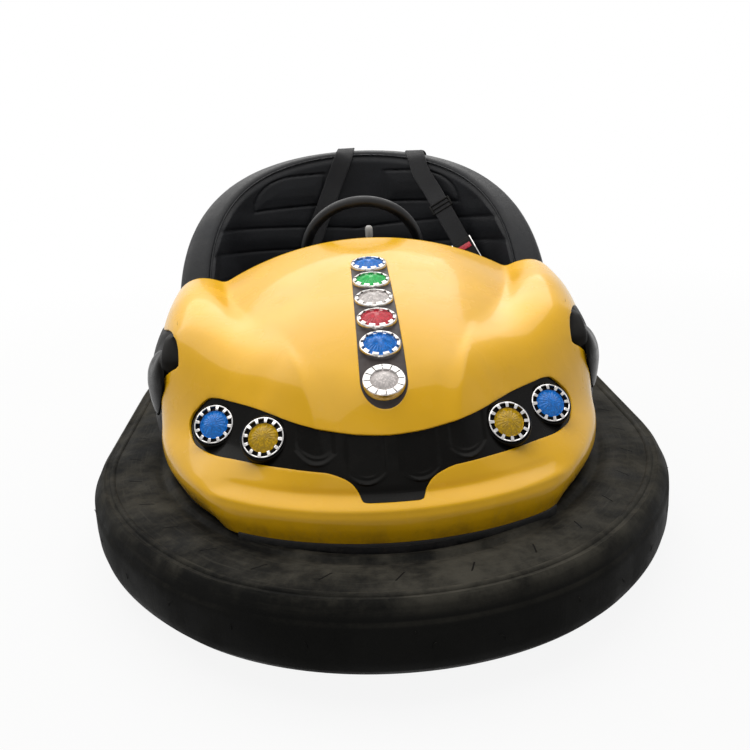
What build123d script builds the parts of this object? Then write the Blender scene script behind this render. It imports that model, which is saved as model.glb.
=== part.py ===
"""Battery bumper car: a steel pan on three wheels inside a rubber ring, with a hollow two-piece body,
a wrap-round bench seat and a drive unit that the steering wheel turns about a vertical kingpin.

Frame: origin on the floor at the middle of the ring, nose towards -Y, +Z up. Left and right in the
names are as seen from in front of the nose, so left is -X. Millimetres.
"""
import os
from math import asin, atan2, cos, degrees, hypot, radians, sin, sqrt, tan

from build123d import *

os.makedirs("parts", exist_ok=True)

# ---- bumper ring, in plan: a nose arc, two side arcs and a straight, mirrored front to back
RING_LENGTH = 1950.0
RING_WIDTH = 1200.0
NOSE_RADIUS = 500.0
RING_END = 756.0
TYRE_WIDTH = 165.0
TYRE_LOW = 50.0
TYRE_TOP = 182.0
RIM_WALL = 6.0

# ---- chassis pan
PAN_LOW = 66.0
PLATE = 6.0
FLANGE_WIDTH = 40.0
DOLLY_SPACING_X = 400.0
DOLLY_SPACING_Y = 120.0
DOLLY_Y = -100.0
DOLLY_HOLE_R = 5.5

# ---- body
BODY_LOW = 188.0
SHELL_WALL = 6.0
PANEL_WALL = 8.0
FLANK_TOP = 430.0
FLANK_FRONT = -330.0
REAR_START = 170.0

# ---- lamps
BEZEL_R = 37.5
LENS_R = 28.0
BEZEL_PROUD = 6.0
BEZEL_DEPTH = 16.0
LENS_DOME = 9.0
HEAD_DEPTH = 34.0
STRIP_WIDTH = 84.0

# ---- seat
SEAT_CENTRE_Y = 150.0
SEAT_ARM_FRONT = 4.0
ROLL_OUTER_R = 455.0
ARM_TOP = 428.0
ELBOW_TOP = 456.0
SEAT_TOP = 744.0
ROLL_WIDTH = 80.0
ROLL_DEPTH = 80.0
BACK_OUTER_R = 420.0
BACK_LOW_R = 345.0
SEAT_LOW = 240.0
CUSHION_THICK = 90.0
SEAT_FRONT = 60.0
SOFT_GAP = 0.3

BASE_HALF = 330.0
BASE_TO_WHEEL = 20.0
BATTERY_WIDTH = 340.0
BATTERY_SPARE = 80.0
BATTERY_HEIGHT = 140.0
BELT_WIDTH = 48.0
BELT_THICK = 3.0
BUCKLE_LENGTH = 72.0
BUCKLE_WIDTH = 58.0
BUCKLE_THICK = 18.0

# ---- cockpit
LEG_HALF = 330.0
LEG_TOP = 410.0
DASH_Y = -24.0
BULKHEAD_HALF = 380.0
BULKHEAD_TOP = 500.0
PEDAL_X = 110.0
PEDAL_WIDTH = 80.0

# ---- steering
WHEEL_CENTRE = (0.0, 140.0, 524.0)
COLUMN_TILT = 22.0
STEER_R = 137.0
STEER_TUBE_R = 13.0
COLUMN_R = 20.0
SHAFT_R = 9.0
RUNNING_GAP = 0.06
HUB_R = 30.0
HUB_HALF = 14.0
SPOKE_WIDTH = 26.0
SPOKE_THICK = 6.0
COLUMN_START = 42.0
LEVER_X = 15.0
LEVER_Y = 60.0
LEVER_R = 8.0
LEVER_TOP = 597.0
LEVER_LENGTH = 112.0
GEARBOX_X = 110.0
GEARBOX_Y = 120.0
GEARBOX_Z = 130.0

# ---- running gear
WHEEL_R = 100.0
TREAD_DEPTH = 24.0
DRIVE_Y = -400.0
DRIVE_WIDTH = 60.0
REAR_OVERHANG = 475.0
REAR_X = 240.0
REAR_WIDTH = 50.0
AXLE_R = 10.0
FORK_GAP = 8.0
FORK_PLATE = 8.0
KINGPIN_R = 18.0
TURNTABLE_R = 100.0
MOTOR_R = 52.0
MOTOR_LENGTH = 95.0
MOTOR_RISE = 10.0
SWEEP_CLEARANCE = 14.0
FORK_HALF = 32.0
KINGPIN_RISE = 46.0
BRIDGE_RISE = 32.0
BRIDGE_LENGTH = 150.0
HUB_RECESS = 8.0
BOSS_R = 20.0
BOSS_PROUD = 3.0
COLLAR_GAP = 1.0
COLLAR_WIDTH = 10.0
BRACKET_X = 180.0

HALF_L = RING_LENGTH / 2
HALF_W = RING_WIDTH / 2
PAN_TOP = PAN_LOW + PLATE
RISE = RING_END - NOSE_RADIUS
SIDE_RADIUS = (NOSE_RADIUS**2 - HALF_W**2 - RISE**2) / (2 * (NOSE_RADIUS - HALF_W))
STRAIGHT = RING_LENGTH - 2 * RING_END
NOSE_CENTRE = (0, -(HALF_L - NOSE_RADIUS))
SIDE_CENTRE = (HALF_W - SIDE_RADIUS, -STRAIGHT / 2)
SIDE_ARC = degrees(atan2(NOSE_CENTRE[1] - SIDE_CENTRE[1], NOSE_CENTRE[0] - SIDE_CENTRE[0]))
PAN_INSET = TYRE_WIDTH + RIM_WALL
REAR_Y = HALF_L - REAR_OVERHANG
BASE_LENGTH = REAR_Y - WHEEL_R - BASE_TO_WHEEL - SEAT_FRONT
BATTERY_LENGTH = BASE_LENGTH - BATTERY_SPARE


def write(builder, name):
    """Labels a finished piece and writes its STEP file."""
    builder.part.label = name
    export_step(builder.part, f"parts/{name}.step")


def bumper_plan(inset):
    """Face inside the ring's plan outline, moved in by inset."""
    with BuildSketch() as plan:
        with BuildLine():
            Line((HALF_W - inset, 0), (HALF_W - inset, SIDE_CENTRE[1]))
            CenterArc(SIDE_CENTRE, SIDE_RADIUS - inset, 0, SIDE_ARC)
            CenterArc(NOSE_CENTRE, NOSE_RADIUS - inset, SIDE_ARC, -90 - SIDE_ARC)
            mirror(about=Plane.YZ)
            mirror(about=Plane.XZ)
        make_face()
    return plan.sketch


def plan_slab(inset, low, high):
    """Upright slab of the ring's plan from one height to another."""
    with BuildPart() as slab:
        with BuildSketch(Plane.XY.offset(low)):
            add(bumper_plan(inset))
        extrude(amount=high - low)
    return slab.part


def radial_plane(centre, angle):
    """Upright plane through a centre of the plan, X outwards at angle, Y up."""
    ax, ay = cos(radians(angle)), sin(radians(angle))
    return Plane(origin=(centre[0], centre[1], 0), x_dir=(ax, ay, 0), z_dir=(ay, -ax, 0))


def tyre_section(radius):
    """Section of the rubber ring, its outer face at radius: beads, crowned top, creased shoulder."""
    inner = radius - TYRE_WIDTH
    shoulder = (radius - 18, TYRE_TOP - 12)
    wall_top = (radius, TYRE_TOP - 52)
    with BuildSketch() as section:
        with BuildLine():
            Polyline(
                (inner, TYRE_LOW + 12),
                (inner, TYRE_TOP - 6),
                (inner + 6, TYRE_TOP),
                (inner + 22, TYRE_TOP),
                (inner + 30, TYRE_TOP - 5),
                (radius - 42, TYRE_TOP - 6),
                shoulder,
            )
            ThreePointArc(shoulder, (radius - 8, TYRE_TOP - 30), wall_top)
            Polyline(
                wall_top,
                (radius - 2, TYRE_LOW + 28),
                (radius - 20, TYRE_LOW),
                (inner + 16, TYRE_LOW),
                (inner, TYRE_LOW + 12),
            )
        make_face()
    return section.sketch


# ============================================================ ring and pan
with BuildPart() as bumper_tyre:
    with BuildSketch(radial_plane(NOSE_CENTRE, -90)):
        add(tyre_section(NOSE_RADIUS))
    revolve(axis=Axis((*NOSE_CENTRE, 0), (0, 0, 1)), revolution_arc=90 + SIDE_ARC)
    with BuildSketch(radial_plane(SIDE_CENTRE, SIDE_ARC)):
        add(tyre_section(SIDE_RADIUS))
    revolve(axis=Axis((*SIDE_CENTRE, 0), (0, 0, 1)), revolution_arc=-SIDE_ARC)
    with BuildSketch(radial_plane(SIDE_CENTRE, 0)):
        add(tyre_section(SIDE_RADIUS))
    extrude(amount=-STRAIGHT / 2)
    mirror(about=Plane.YZ)
    mirror(about=Plane.XZ)
write(bumper_tyre, "bumper_tyre")

with BuildPart() as bumper_rim:
    add(plan_slab(TYRE_WIDTH, TYRE_LOW + 16, TYRE_TOP - 10))
    add(plan_slab(PAN_INSET, TYRE_LOW, TYRE_TOP), mode=Mode.SUBTRACT)
write(bumper_rim, "bumper_rim")

drive_sweep = hypot(DRIVE_WIDTH / 2 + FORK_GAP + FORK_PLATE + MOTOR_LENGTH, MOTOR_R)
drive_hole_r = drive_sweep + SWEEP_CLEARANCE
slot_length = 2 * WHEEL_R + SWEEP_CLEARANCE
slot_width = REAR_WIDTH + SWEEP_CLEARANCE

with BuildPart() as chassis_pan:
    add(plan_slab(PAN_INSET, PAN_LOW, BODY_LOW))
    add(plan_slab(PAN_INSET + PLATE, PAN_TOP, BODY_LOW - PLATE), mode=Mode.SUBTRACT)
    add(plan_slab(PAN_INSET + FLANGE_WIDTH, PAN_TOP, BODY_LOW), mode=Mode.SUBTRACT)
    with BuildSketch(Plane.XY.offset(PAN_LOW)):
        with Locations((0, DRIVE_Y)):
            Circle(drive_hole_r)
        with Locations((-REAR_X, REAR_Y), (REAR_X, REAR_Y)):
            Rectangle(slot_width, slot_length)
        with Locations((0, DOLLY_Y)):
            with GridLocations(DOLLY_SPACING_X, DOLLY_SPACING_Y, 2, 2):
                Circle(DOLLY_HOLE_R)
    extrude(amount=PLATE, mode=Mode.SUBTRACT)
write(chassis_pan, "chassis_pan")

# ============================================================ body forms
# Each level of the nose: height, apex y, then plan points where the nose arc ends (a), the middle
# of the corner (m) and its end (b), and half the width at the cockpit (c).
NOSE_LEVELS = (
    # z, apex_y, ax, ay, mx, my, bx, by, cx
    (BODY_LOW, -776, 270, -682, 352, -565, 412, -400, 428),
    (232, -800, 290, -700, 382, -565, 436, -390, 444),
    (262, -782, 288, -672, 385, -530, 442, -370, 450),
    (300, -748, 255, -620, 350, -497, 440, -350, 454),
    (345, -722, 228, -600, 322, -492, 438, -340, 456),
    (400, -704, 215, -575, 312, -470, 432, -330, 456),
    (620, -690, 205, -560, 300, -455, 425, -320, 456),
)
# Each section across the hood: y, valley (x, z), crown z, fender crest (x, z), outer fender z.
HOOD_SECTIONS = (
    # y, valley_x, valley_z, crown_z, crest_x, crest_z, outer_z
    (0, 325, 492, 578, 390, 503, 452),
    (-150, 303, 482, 562, 388, 497, 440),
    (-300, 268, 466, 534, 372, 474, 400),
    (-450, 225, 445, 502, 345, 430, 330),
    (-600, 180, 412, 450, 300, 370, 285),
    (-720, 140, 352, 372, 260, 325, 268),
    (-830, 110, 288, 296, 240, 282, 264),
)
HOOD_EDGE_X = 475.0
# Each level of the tail, the same way: the top one lies on the seat's own arc.
top_r = ROLL_OUTER_R - 9
TAIL_LEVELS = (
    # z, apex_y, ax, ay, mx, my, bx, by, cx
    (BODY_LOW, 776, 270, 682, 352, 565, 412, 400, 428),
    (250, 792, 280, 690, 370, 562, 430, 392, 440),
    (380, 772, 275, 660, 375, 525, 436, 370, 446),
    (540, 690, 262, 590, 374, 455, 436, 320, 446),
    (
        720,
        SEAT_CENTRE_Y + top_r,
        top_r * sin(radians(34)),
        SEAT_CENTRE_Y + top_r * cos(radians(34)),
        top_r * sin(radians(56)),
        SEAT_CENTRE_Y + top_r * cos(radians(56)),
        top_r * sin(radians(77)),
        SEAT_CENTRE_Y + top_r * cos(radians(77)),
        top_r,
    ),
)


def flip(point):
    """The same point on the car's other side."""
    return (-point[0], point[1])


def level_outline(level, inset, back_y):
    """Plan face of one level of a body end."""
    _, apex_y, ax, ay, mx, my, bx, by, cx = level
    way = 1 if apex_y > 0 else -1
    apex = (0, apex_y - way * inset)
    a = (ax - 0.6 * inset, ay - way * 0.8 * inset)
    m = (mx - 0.85 * inset, my - way * 0.5 * inset)
    b = (bx - inset, by)
    c = (cx - inset, back_y)
    with BuildSketch() as outline:
        with BuildLine():
            ThreePointArc(flip(a), apex, a)
            ThreePointArc(a, m, b)
            Line(b, c)
            Line(c, flip(c))
            Line(flip(c), flip(b))
            ThreePointArc(flip(b), flip(m), flip(a))
        make_face()
    return outline.sketch


def body_walls(levels, inset, back_y):
    """Solid between the plan outlines of a body end."""
    with BuildPart() as walls:
        for level in levels:
            low = inset if level is levels[0] else 0
            with BuildSketch(Plane.XY.offset(level[0] - low)):
                add(level_outline(level, inset, back_y))
        loft(ruled=True)
    return walls.part


def hood_top(inset):
    """Solid under the hood, valleys and fender humps."""
    with BuildPart() as hood:
        for y, valley_x, valley_z, crown_z, crest_x, crest_z, outer_z in HOOD_SECTIONS:
            back = inset if y == 0 else 0
            valley = (valley_x, valley_z - inset)
            crest = (crest_x, crest_z - inset)
            outer = (HOOD_EDGE_X, outer_z - inset)
            foot = (HOOD_EDGE_X, BODY_LOW - 2 * SHELL_WALL)
            plane = Plane(origin=(0, y + back, 0), x_dir=(1, 0, 0), z_dir=(0, -1, 0))
            with BuildSketch(plane):
                with BuildLine():
                    ThreePointArc(flip(valley), (0, crown_z - inset), valley)
                    ThreePointArc(valley, crest, outer)
                    Line(outer, foot)
                    Line(foot, flip(foot))
                    Line(flip(foot), flip(outer))
                    ThreePointArc(flip(outer), flip(crest), flip(valley))
                make_face()
        loft()
    return hood.part


def front_form(inset):
    """Solid of the whole nose, all faces moved in by inset."""
    with BuildPart() as form:
        add(body_walls(NOSE_LEVELS, inset, inset))
        add(hood_top(inset), mode=Mode.INTERSECT)
    return form.part


def under_seat_line(drop):
    """Solid below the side-view line of the seat's padded edge, lowered by drop."""
    with BuildPart() as below:
        with BuildSketch(Plane.YZ):
            with BuildLine():
                elbow = (SEAT_CENTRE_Y, ELBOW_TOP - drop)
                head = (SEAT_CENTRE_Y + ROLL_OUTER_R, SEAT_TOP - drop)
                Line((SEAT_ARM_FRONT, ARM_TOP - drop), elbow)
                ThreePointArc(elbow, (400, 642 - drop), head)
                Polyline(
                    head,
                    (HALF_L, SEAT_TOP - drop),
                    (HALF_L, PAN_LOW),
                    (SEAT_ARM_FRONT, PAN_LOW),
                    (SEAT_ARM_FRONT, ARM_TOP - drop),
                )
            make_face()
        extrude(amount=HALF_W, both=True)
    return below.part


front_outer = front_form(0)
front_inner = front_form(SHELL_WALL)
tail_outer = body_walls(TAIL_LEVELS, 0, REAR_START)
tail_inner = body_walls(TAIL_LEVELS, SHELL_WALL, REAR_START - SHELL_WALL)

# ============================================================ lamps
# Hood lamps by colour, counted from the cockpit: (y, z, surface slope in degrees).
HOOD_LAMPS = (
    # colour, y, z, slope
    ("blue", -216, 551, 11),
    ("green", -305, 533, 12),
    ("clear", -394, 514, 13),
    ("red", -481, 494, 15),
    ("blue", -566, 466, 23),
    ("clear", -644, 425, 31),
)
# Head and tail lamps: x, y, z, yaw outwards from the car's length, pitch upwards.
HEADLAMPS = (
    # colour, x, y, z, yaw, pitch
    ("yellow", 217, -639, 330, 22, 34),
    ("blue", 318, -525, 326, 28, 36),
)
TAIL_LAMPS = (
    # colour, x, y, z, yaw, pitch
    ("red", 230, 709, 330, 34, 10),
    ("clear", 325, 614, 330, 53, 9),
)


def hood_lamp_plane(lamp):
    """Plane on the hood at a lamp, Z along the lamp's axis."""
    _, y, z, slope = lamp
    return Plane(
        origin=(0, y, z), x_dir=(1, 0, 0), z_dir=(0, -sin(radians(slope)), cos(radians(slope)))
    )


def wall_lamp_plane(lamp, side, way):
    """Plane at a head or tail lamp; way is -1 at the nose and 1 at the tail."""
    _, x, y, z, yaw, pitch = lamp
    flat = cos(radians(pitch))
    out = (side * sin(radians(yaw)) * flat, way * cos(radians(yaw)) * flat, sin(radians(pitch)))
    return Plane(origin=(side * x, y, z), x_dir=(-out[1], out[0], 0), z_dir=out)


hood_planes = [(lamp[0], hood_lamp_plane(lamp)) for lamp in HOOD_LAMPS]
head_planes = [(lamp[0], wall_lamp_plane(lamp, side, -1)) for lamp in HEADLAMPS for side in (-1, 1)]
tail_planes = [(lamp[0], wall_lamp_plane(lamp, side, 1)) for lamp in TAIL_LAMPS for side in (-1, 1)]


def lamp_sockets(planes, depth):
    """The round holes that the bezels fill, as solids that also clear the lenses' domes."""
    with BuildPart() as sockets:
        for _, plane in planes:
            with BuildSketch(plane.offset(-depth)):
                Circle(BEZEL_R)
            extrude(amount=depth + BEZEL_PROUD + LENS_DOME)
    return sockets.part


def lamp_bezels(planes, depth):
    """Bezel rings with a bevelled face, each through its hole and proud of the panel."""
    with BuildPart() as bezels:
        for _, plane in planes:
            with BuildSketch(plane.offset(-depth)):
                Circle(BEZEL_R)
            extrude(amount=depth + BEZEL_PROUD)
            with BuildSketch(plane.offset(-depth)):
                Circle(LENS_R)
            extrude(amount=depth + BEZEL_PROUD, mode=Mode.SUBTRACT)
        rims = bezels.edges().filter_by(GeomType.CIRCLE).group_by(SortBy.RADIUS)[-1]
        chamfer([rim for rim in rims if stands_out(rim, planes)], BEZEL_PROUD / 2)
    return bezels.part


def stands_out(edge, planes):
    """True for a rim on the outer face of its lamp."""
    return any((edge.arc_center - p.origin).length < BEZEL_PROUD + 0.1 for _, p in planes)


def lamp_lenses(planes, colour):
    """Domed lenses of one colour, each filling its bezel."""
    dome_r = (LENS_R**2 + LENS_DOME**2) / (2 * LENS_DOME)
    with BuildPart() as lenses:
        for name, plane in planes:
            if name != colour:
                continue
            section = Plane(origin=plane.origin, x_dir=plane.x_dir, z_dir=-plane.y_dir)
            with BuildSketch(section):
                with BuildLine():
                    top = BEZEL_PROUD - 4
                    Polyline((0, top + LENS_DOME), (0, -BEZEL_DEPTH), (LENS_R, -BEZEL_DEPTH))
                    Line((LENS_R, -BEZEL_DEPTH), (LENS_R, top))
                    RadiusArc((LENS_R, top), (0, top + LENS_DOME), -dome_r)
                make_face()
            revolve(axis=Axis(plane.origin, plane.z_dir))
    return lenses.part


# ============================================================ front shell, mask and lamp strip
with BuildPart() as nose_skin:
    add(front_outer)
    add(front_inner, mode=Mode.SUBTRACT)
    for side in (-1, 1):
        with Locations((side * HALF_W, FLANK_FRONT, BODY_LOW - SHELL_WALL)):
            Box(
                HALF_W,
                -FLANK_FRONT + SHELL_WALL,
                FLANK_TOP - BODY_LOW + SHELL_WALL,
                align=(Align.CENTER, Align.MIN, Align.MIN),
                mode=Mode.SUBTRACT,
            )

# Mask outline in front view, right half: top edge in from the end, then the lower edge out again.
MASK_TOP = ((0, 348), (145, 352), (300, 380))
MASK_END = ((300, 380), (361, 362), (352, 312))
MASK_LOW = ((352, 312), (262, 282), (92, 287), (46, 258), (0, 256))

with BuildPart() as mask_block:
    with BuildSketch(Plane.XZ.offset(-FLANK_FRONT)):
        with BuildLine():
            ThreePointArc(*MASK_TOP)
            ThreePointArc(*MASK_END)
            Polyline(*MASK_LOW)
            mirror(about=Plane.YZ)
        make_face()
    extrude(amount=HALF_L)

with BuildPart() as strip_block:
    strip_front = HOOD_LAMPS[-1][1] - BEZEL_R - 12
    strip_back = HOOD_LAMPS[0][1] + BEZEL_R
    with BuildSketch(Plane.XY.offset(MASK_TOP[0][1])):
        with Locations((0, (strip_front + strip_back) / 2)):
            SlotOverall(strip_back - strip_front, STRIP_WIDTH, rotation=90)
    extrude(amount=HALF_W)

hood_sockets = lamp_sockets(hood_planes, BEZEL_DEPTH)
head_sockets = lamp_sockets(head_planes, HEAD_DEPTH)

with BuildPart() as front_shell:
    add(nose_skin.part)
    add(mask_block.part, mode=Mode.SUBTRACT)
    add(strip_block.part, mode=Mode.SUBTRACT)
    add(hood_sockets, mode=Mode.SUBTRACT)
    add(head_sockets, mode=Mode.SUBTRACT)
write(front_shell, "front_shell")

with BuildPart() as headlamp_mask:
    add(nose_skin.part)
    add(mask_block.part, mode=Mode.INTERSECT)
    add(head_sockets, mode=Mode.SUBTRACT)
write(headlamp_mask, "headlamp_mask")

with BuildPart() as lamp_strip:
    add(nose_skin.part)
    add(strip_block.part, mode=Mode.INTERSECT)
    add(hood_sockets, mode=Mode.SUBTRACT)
write(lamp_strip, "lamp_strip")

with BuildPart() as hood_lamp_bezels:
    add(lamp_bezels(hood_planes, BEZEL_DEPTH))
write(hood_lamp_bezels, "hood_lamp_bezels")

with BuildPart() as headlamp_bezels:
    add(lamp_bezels(head_planes, HEAD_DEPTH))
write(headlamp_bezels, "headlamp_bezels")

with BuildPart() as tail_lamp_bezels:
    add(lamp_bezels(tail_planes, BEZEL_DEPTH))
write(tail_lamp_bezels, "tail_lamp_bezels")

LENS_NODES = (
    # node, lamps, colour
    ("hood_lenses_blue", hood_planes, "blue"),
    ("hood_lens_green", hood_planes, "green"),
    ("hood_lenses_clear", hood_planes, "clear"),
    ("hood_lens_red", hood_planes, "red"),
    ("headlamp_lenses_blue", head_planes, "blue"),
    ("headlamp_lenses_yellow", head_planes, "yellow"),
    ("tail_lenses_red", tail_planes, "red"),
    ("tail_lenses_clear", tail_planes, "clear"),
)
for node, planes, colour in LENS_NODES:
    with BuildPart() as lenses:
        add(lamp_lenses(planes, colour))
    write(lenses, node)

# ============================================================ rear shell and side panels
with BuildPart() as rear_shell:
    add(tail_outer)
    add(tail_inner, mode=Mode.SUBTRACT)
    add(under_seat_line(ROLL_DEPTH), mode=Mode.INTERSECT)
    add(lamp_sockets(tail_planes, BEZEL_DEPTH), mode=Mode.SUBTRACT)
write(rear_shell, "rear_shell")

PANEL_BULGE_X = 486.0
PANEL_FRONT_X = 440.0
PANEL_REAR_X = 446.0
PANEL_INNER_X = 424.0

with BuildPart() as side_panel:
    with BuildSketch(Plane.XY.offset(BODY_LOW)):
        with BuildLine():
            ThreePointArc(
                (PANEL_FRONT_X, FLANK_FRONT), (PANEL_BULGE_X, -120), (PANEL_REAR_X, REAR_START)
            )
            Polyline(
                (PANEL_REAR_X, REAR_START),
                (PANEL_INNER_X, REAR_START),
                (PANEL_INNER_X, FLANK_FRONT),
                (PANEL_FRONT_X, FLANK_FRONT),
            )
        make_face()
    extrude(amount=FLANK_TOP - BODY_LOW)
    with BuildSketch(Plane.XY.offset(BODY_LOW - 1)):
        with BuildLine():
            ThreePointArc(
                (PANEL_FRONT_X - PANEL_WALL, FLANK_FRONT + PANEL_WALL),
                (PANEL_BULGE_X - PANEL_WALL, -120),
                (PANEL_REAR_X - PANEL_WALL, REAR_START - PANEL_WALL),
            )
            Line(
                (PANEL_REAR_X - PANEL_WALL, REAR_START - PANEL_WALL),
                (PANEL_FRONT_X - PANEL_WALL, FLANK_FRONT + PANEL_WALL),
            )
        make_face()
    extrude(amount=ARM_TOP - ROLL_DEPTH - PANEL_WALL - BODY_LOW, mode=Mode.SUBTRACT)
    with BuildSketch(Plane.YZ.offset(PANEL_INNER_X)):
        with BuildLine():
            Polyline(
                (0, FLANK_TOP),
                (0, ARM_TOP - ROLL_DEPTH),
                (SEAT_ARM_FRONT, ARM_TOP - ROLL_DEPTH),
                (SEAT_CENTRE_Y, ELBOW_TOP - ROLL_DEPTH),
                (REAR_START, ELBOW_TOP - ROLL_DEPTH),
                (REAR_START, FLANK_TOP),
                (0, FLANK_TOP),
            )
        make_face()
    extrude(amount=PANEL_BULGE_X - PANEL_INNER_X, mode=Mode.SUBTRACT)

with BuildPart() as side_panel_right:
    add(side_panel.part)
write(side_panel_right, "side_panel_right")

with BuildPart() as side_panel_left:
    add(side_panel.part.mirror(Plane.YZ))
write(side_panel_left, "side_panel_left")

# ============================================================ cockpit
BULKHEAD_Y = DRIVE_Y + drive_hole_r + 2 * PANEL_WALL

column_dir = Vector(0, -cos(radians(COLUMN_TILT)), -sin(radians(COLUMN_TILT)))


def column_plane(distance):
    """Plane across the steering column, that far down it from the wheel's centre, Z to the driver."""
    return Plane(origin=Vector(*WHEEL_CENTRE) + column_dir * distance, x_dir=(1, 0, 0), z_dir=-column_dir)


def column_bore(radius, start, end):
    """Round bar along the steering column between two distances from the wheel's centre."""
    with BuildPart() as bar:
        with BuildSketch(column_plane(end)):
            Circle(radius)
        extrude(amount=end - start)
    return bar.part


column_end = (WHEEL_CENTRE[1] - DRIVE_Y) / cos(radians(COLUMN_TILT))
shaft_end = (WHEEL_CENTRE[1] - DRIVE_Y - GEARBOX_Y / 2) / cos(radians(COLUMN_TILT)) - 2 * COLUMN_R
fork_top = 2 * WHEEL_R + SWEEP_CLEARANCE + FORK_PLATE
bridge_top = fork_top + BRIDGE_RISE
bridge_half = drive_hole_r + 2 * PANEL_WALL
collar_offset = REAR_WIDTH / 2 + BOSS_PROUD + COLLAR_GAP + COLLAR_WIDTH / 2



def cross_panel(y, high):
    """Panel across the inside of the nose, its rear face at y, from the pan's flange up to high."""
    with BuildPart() as panel:
        add(front_inner)
        with BuildSketch(Plane.XZ.offset(-y)):
            with Locations((0, BODY_LOW)):
                Rectangle(2 * PANEL_INNER_X, high - BODY_LOW, align=(Align.CENTER, Align.MIN))
        extrude(amount=PANEL_WALL, mode=Mode.INTERSECT)
    return panel.part


with BuildPart() as dash_panel:
    add(cross_panel(DASH_Y, SEAT_TOP))
    with BuildSketch(Plane.XZ.offset(-DASH_Y)):
        with Locations((0, LEG_TOP)):
            RectangleRounded(2 * LEG_HALF, 2 * LEG_TOP, 40, align=(Align.CENTER, Align.MAX))
    extrude(amount=PANEL_WALL, mode=Mode.SUBTRACT)
    add(column_bore(COLUMN_R + SOFT_GAP, 0, column_end), mode=Mode.SUBTRACT)
write(dash_panel, "dash_panel")

with BuildPart() as bulkhead:
    add(cross_panel(BULKHEAD_Y, BULKHEAD_TOP))
    with BuildSketch(Plane.XZ.offset(-BULKHEAD_Y)):
        with Locations((0, PAN_TOP)):
            Rectangle(2 * BULKHEAD_HALF, BODY_LOW - PAN_TOP, align=(Align.CENTER, Align.MIN))
    extrude(amount=PANEL_WALL)
    add(column_bore(COLUMN_R + SOFT_GAP, 0, column_end), mode=Mode.SUBTRACT)
write(bulkhead, "bulkhead")

with BuildPart() as foot_pedal:
    with BuildSketch(Plane.YZ.offset(PEDAL_X - PEDAL_WIDTH / 2)):
        heel = BULKHEAD_Y + 4
        with BuildLine():
            Polyline(
                (heel, PAN_TOP),
                (heel + 84, PAN_TOP),
                (heel + 84, PAN_TOP + 8),
                (heel + 30, PAN_TOP + 14),
                (heel + 8, PAN_TOP + 110),
                (heel, PAN_TOP + 110),
                (heel, PAN_TOP),
            )
        make_face()
    extrude(amount=PEDAL_WIDTH)
write(foot_pedal, "foot_pedal")

with BuildPart() as seat_base:
    with Locations((0, SEAT_FRONT, PAN_TOP)):
        Box(
            2 * BASE_HALF,
            BASE_LENGTH,
            SEAT_LOW - PAN_TOP,
            align=(Align.CENTER, Align.MIN, Align.MIN),
        )
    with Locations((0, SEAT_FRONT + PANEL_WALL, PAN_TOP)):
        Box(
            2 * (BASE_HALF - PANEL_WALL),
            BASE_LENGTH - 2 * PANEL_WALL,
            SEAT_LOW - PAN_TOP - PANEL_WALL,
            align=(Align.CENTER, Align.MIN, Align.MIN),
            mode=Mode.SUBTRACT,
        )
write(seat_base, "seat_base")

with BuildPart() as battery_block:
    with Locations((0, SEAT_FRONT + BASE_LENGTH / 2, PAN_TOP)):
        Box(
            BATTERY_WIDTH,
            BATTERY_LENGTH,
            BATTERY_HEIGHT,
            align=(Align.CENTER, Align.CENTER, Align.MIN),
        )
write(battery_block, "battery_block")


def seat_plan(radius, front):
    """Face of the seat's plan: half round at the back, straight arms to the front."""
    with BuildSketch() as plan:
        with BuildLine():
            Line((radius, front), (radius, SEAT_CENTRE_Y))
            ThreePointArc((radius, SEAT_CENTRE_Y), (0, SEAT_CENTRE_Y + radius), (-radius, SEAT_CENTRE_Y))
            Polyline((-radius, SEAT_CENTRE_Y), (-radius, front), (radius, front))
        make_face()
    return plan.sketch


with BuildPart() as seat_roll:
    with BuildSketch(Plane.XY.offset(SEAT_LOW)):
        add(seat_plan(ROLL_OUTER_R, SEAT_ARM_FRONT))
        add(seat_plan(ROLL_OUTER_R - ROLL_WIDTH, SEAT_ARM_FRONT), mode=Mode.SUBTRACT)
    extrude(amount=RING_WIDTH)
    add(under_seat_line(0), mode=Mode.INTERSECT)
    add(under_seat_line(ROLL_DEPTH), mode=Mode.SUBTRACT)

with BuildPart() as seat_hollow:
    with BuildSketch(Plane.XY.offset(SEAT_LOW)):
        add(seat_plan(BACK_LOW_R, 0))
    with BuildSketch(Plane.XY.offset(SEAT_TOP)):
        add(seat_plan(ROLL_OUTER_R - ROLL_WIDTH, 0))
    loft(ruled=True)

with BuildPart() as seat_back:
    with BuildSketch(Plane.XY.offset(SEAT_LOW)):
        add(seat_plan(BACK_OUTER_R, SEAT_ARM_FRONT))
    extrude(amount=RING_WIDTH)
    add(under_seat_line(ROLL_DEPTH / 2), mode=Mode.INTERSECT)
    add(seat_hollow.part, mode=Mode.SUBTRACT)
    add(seat_roll.part)
write(seat_back, "seat_back")

with BuildPart() as seat_cushion:
    with BuildSketch(Plane.XY.offset(SEAT_LOW)):
        add(seat_plan(BACK_LOW_R - SOFT_GAP, SEAT_FRONT))
    extrude(amount=CUSHION_THICK)
    fillet(seat_cushion.edges().group_by(Axis.Z)[-1], CUSHION_THICK / 4)
write(seat_cushion, "seat_cushion")


def belt_plane(top, low):
    """Plane half way down a belt, X down the belt, Z out of its face."""
    along = (Vector(*low) - Vector(*top)).normalized()
    middle = (Vector(*low) + Vector(*top)) / 2
    inwards = Vector(-middle.X, SEAT_CENTRE_Y - middle.Y, 0).normalized()
    across = inwards.cross(along).normalized()
    return Plane(origin=middle, x_dir=along, z_dir=along.cross(across))


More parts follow.
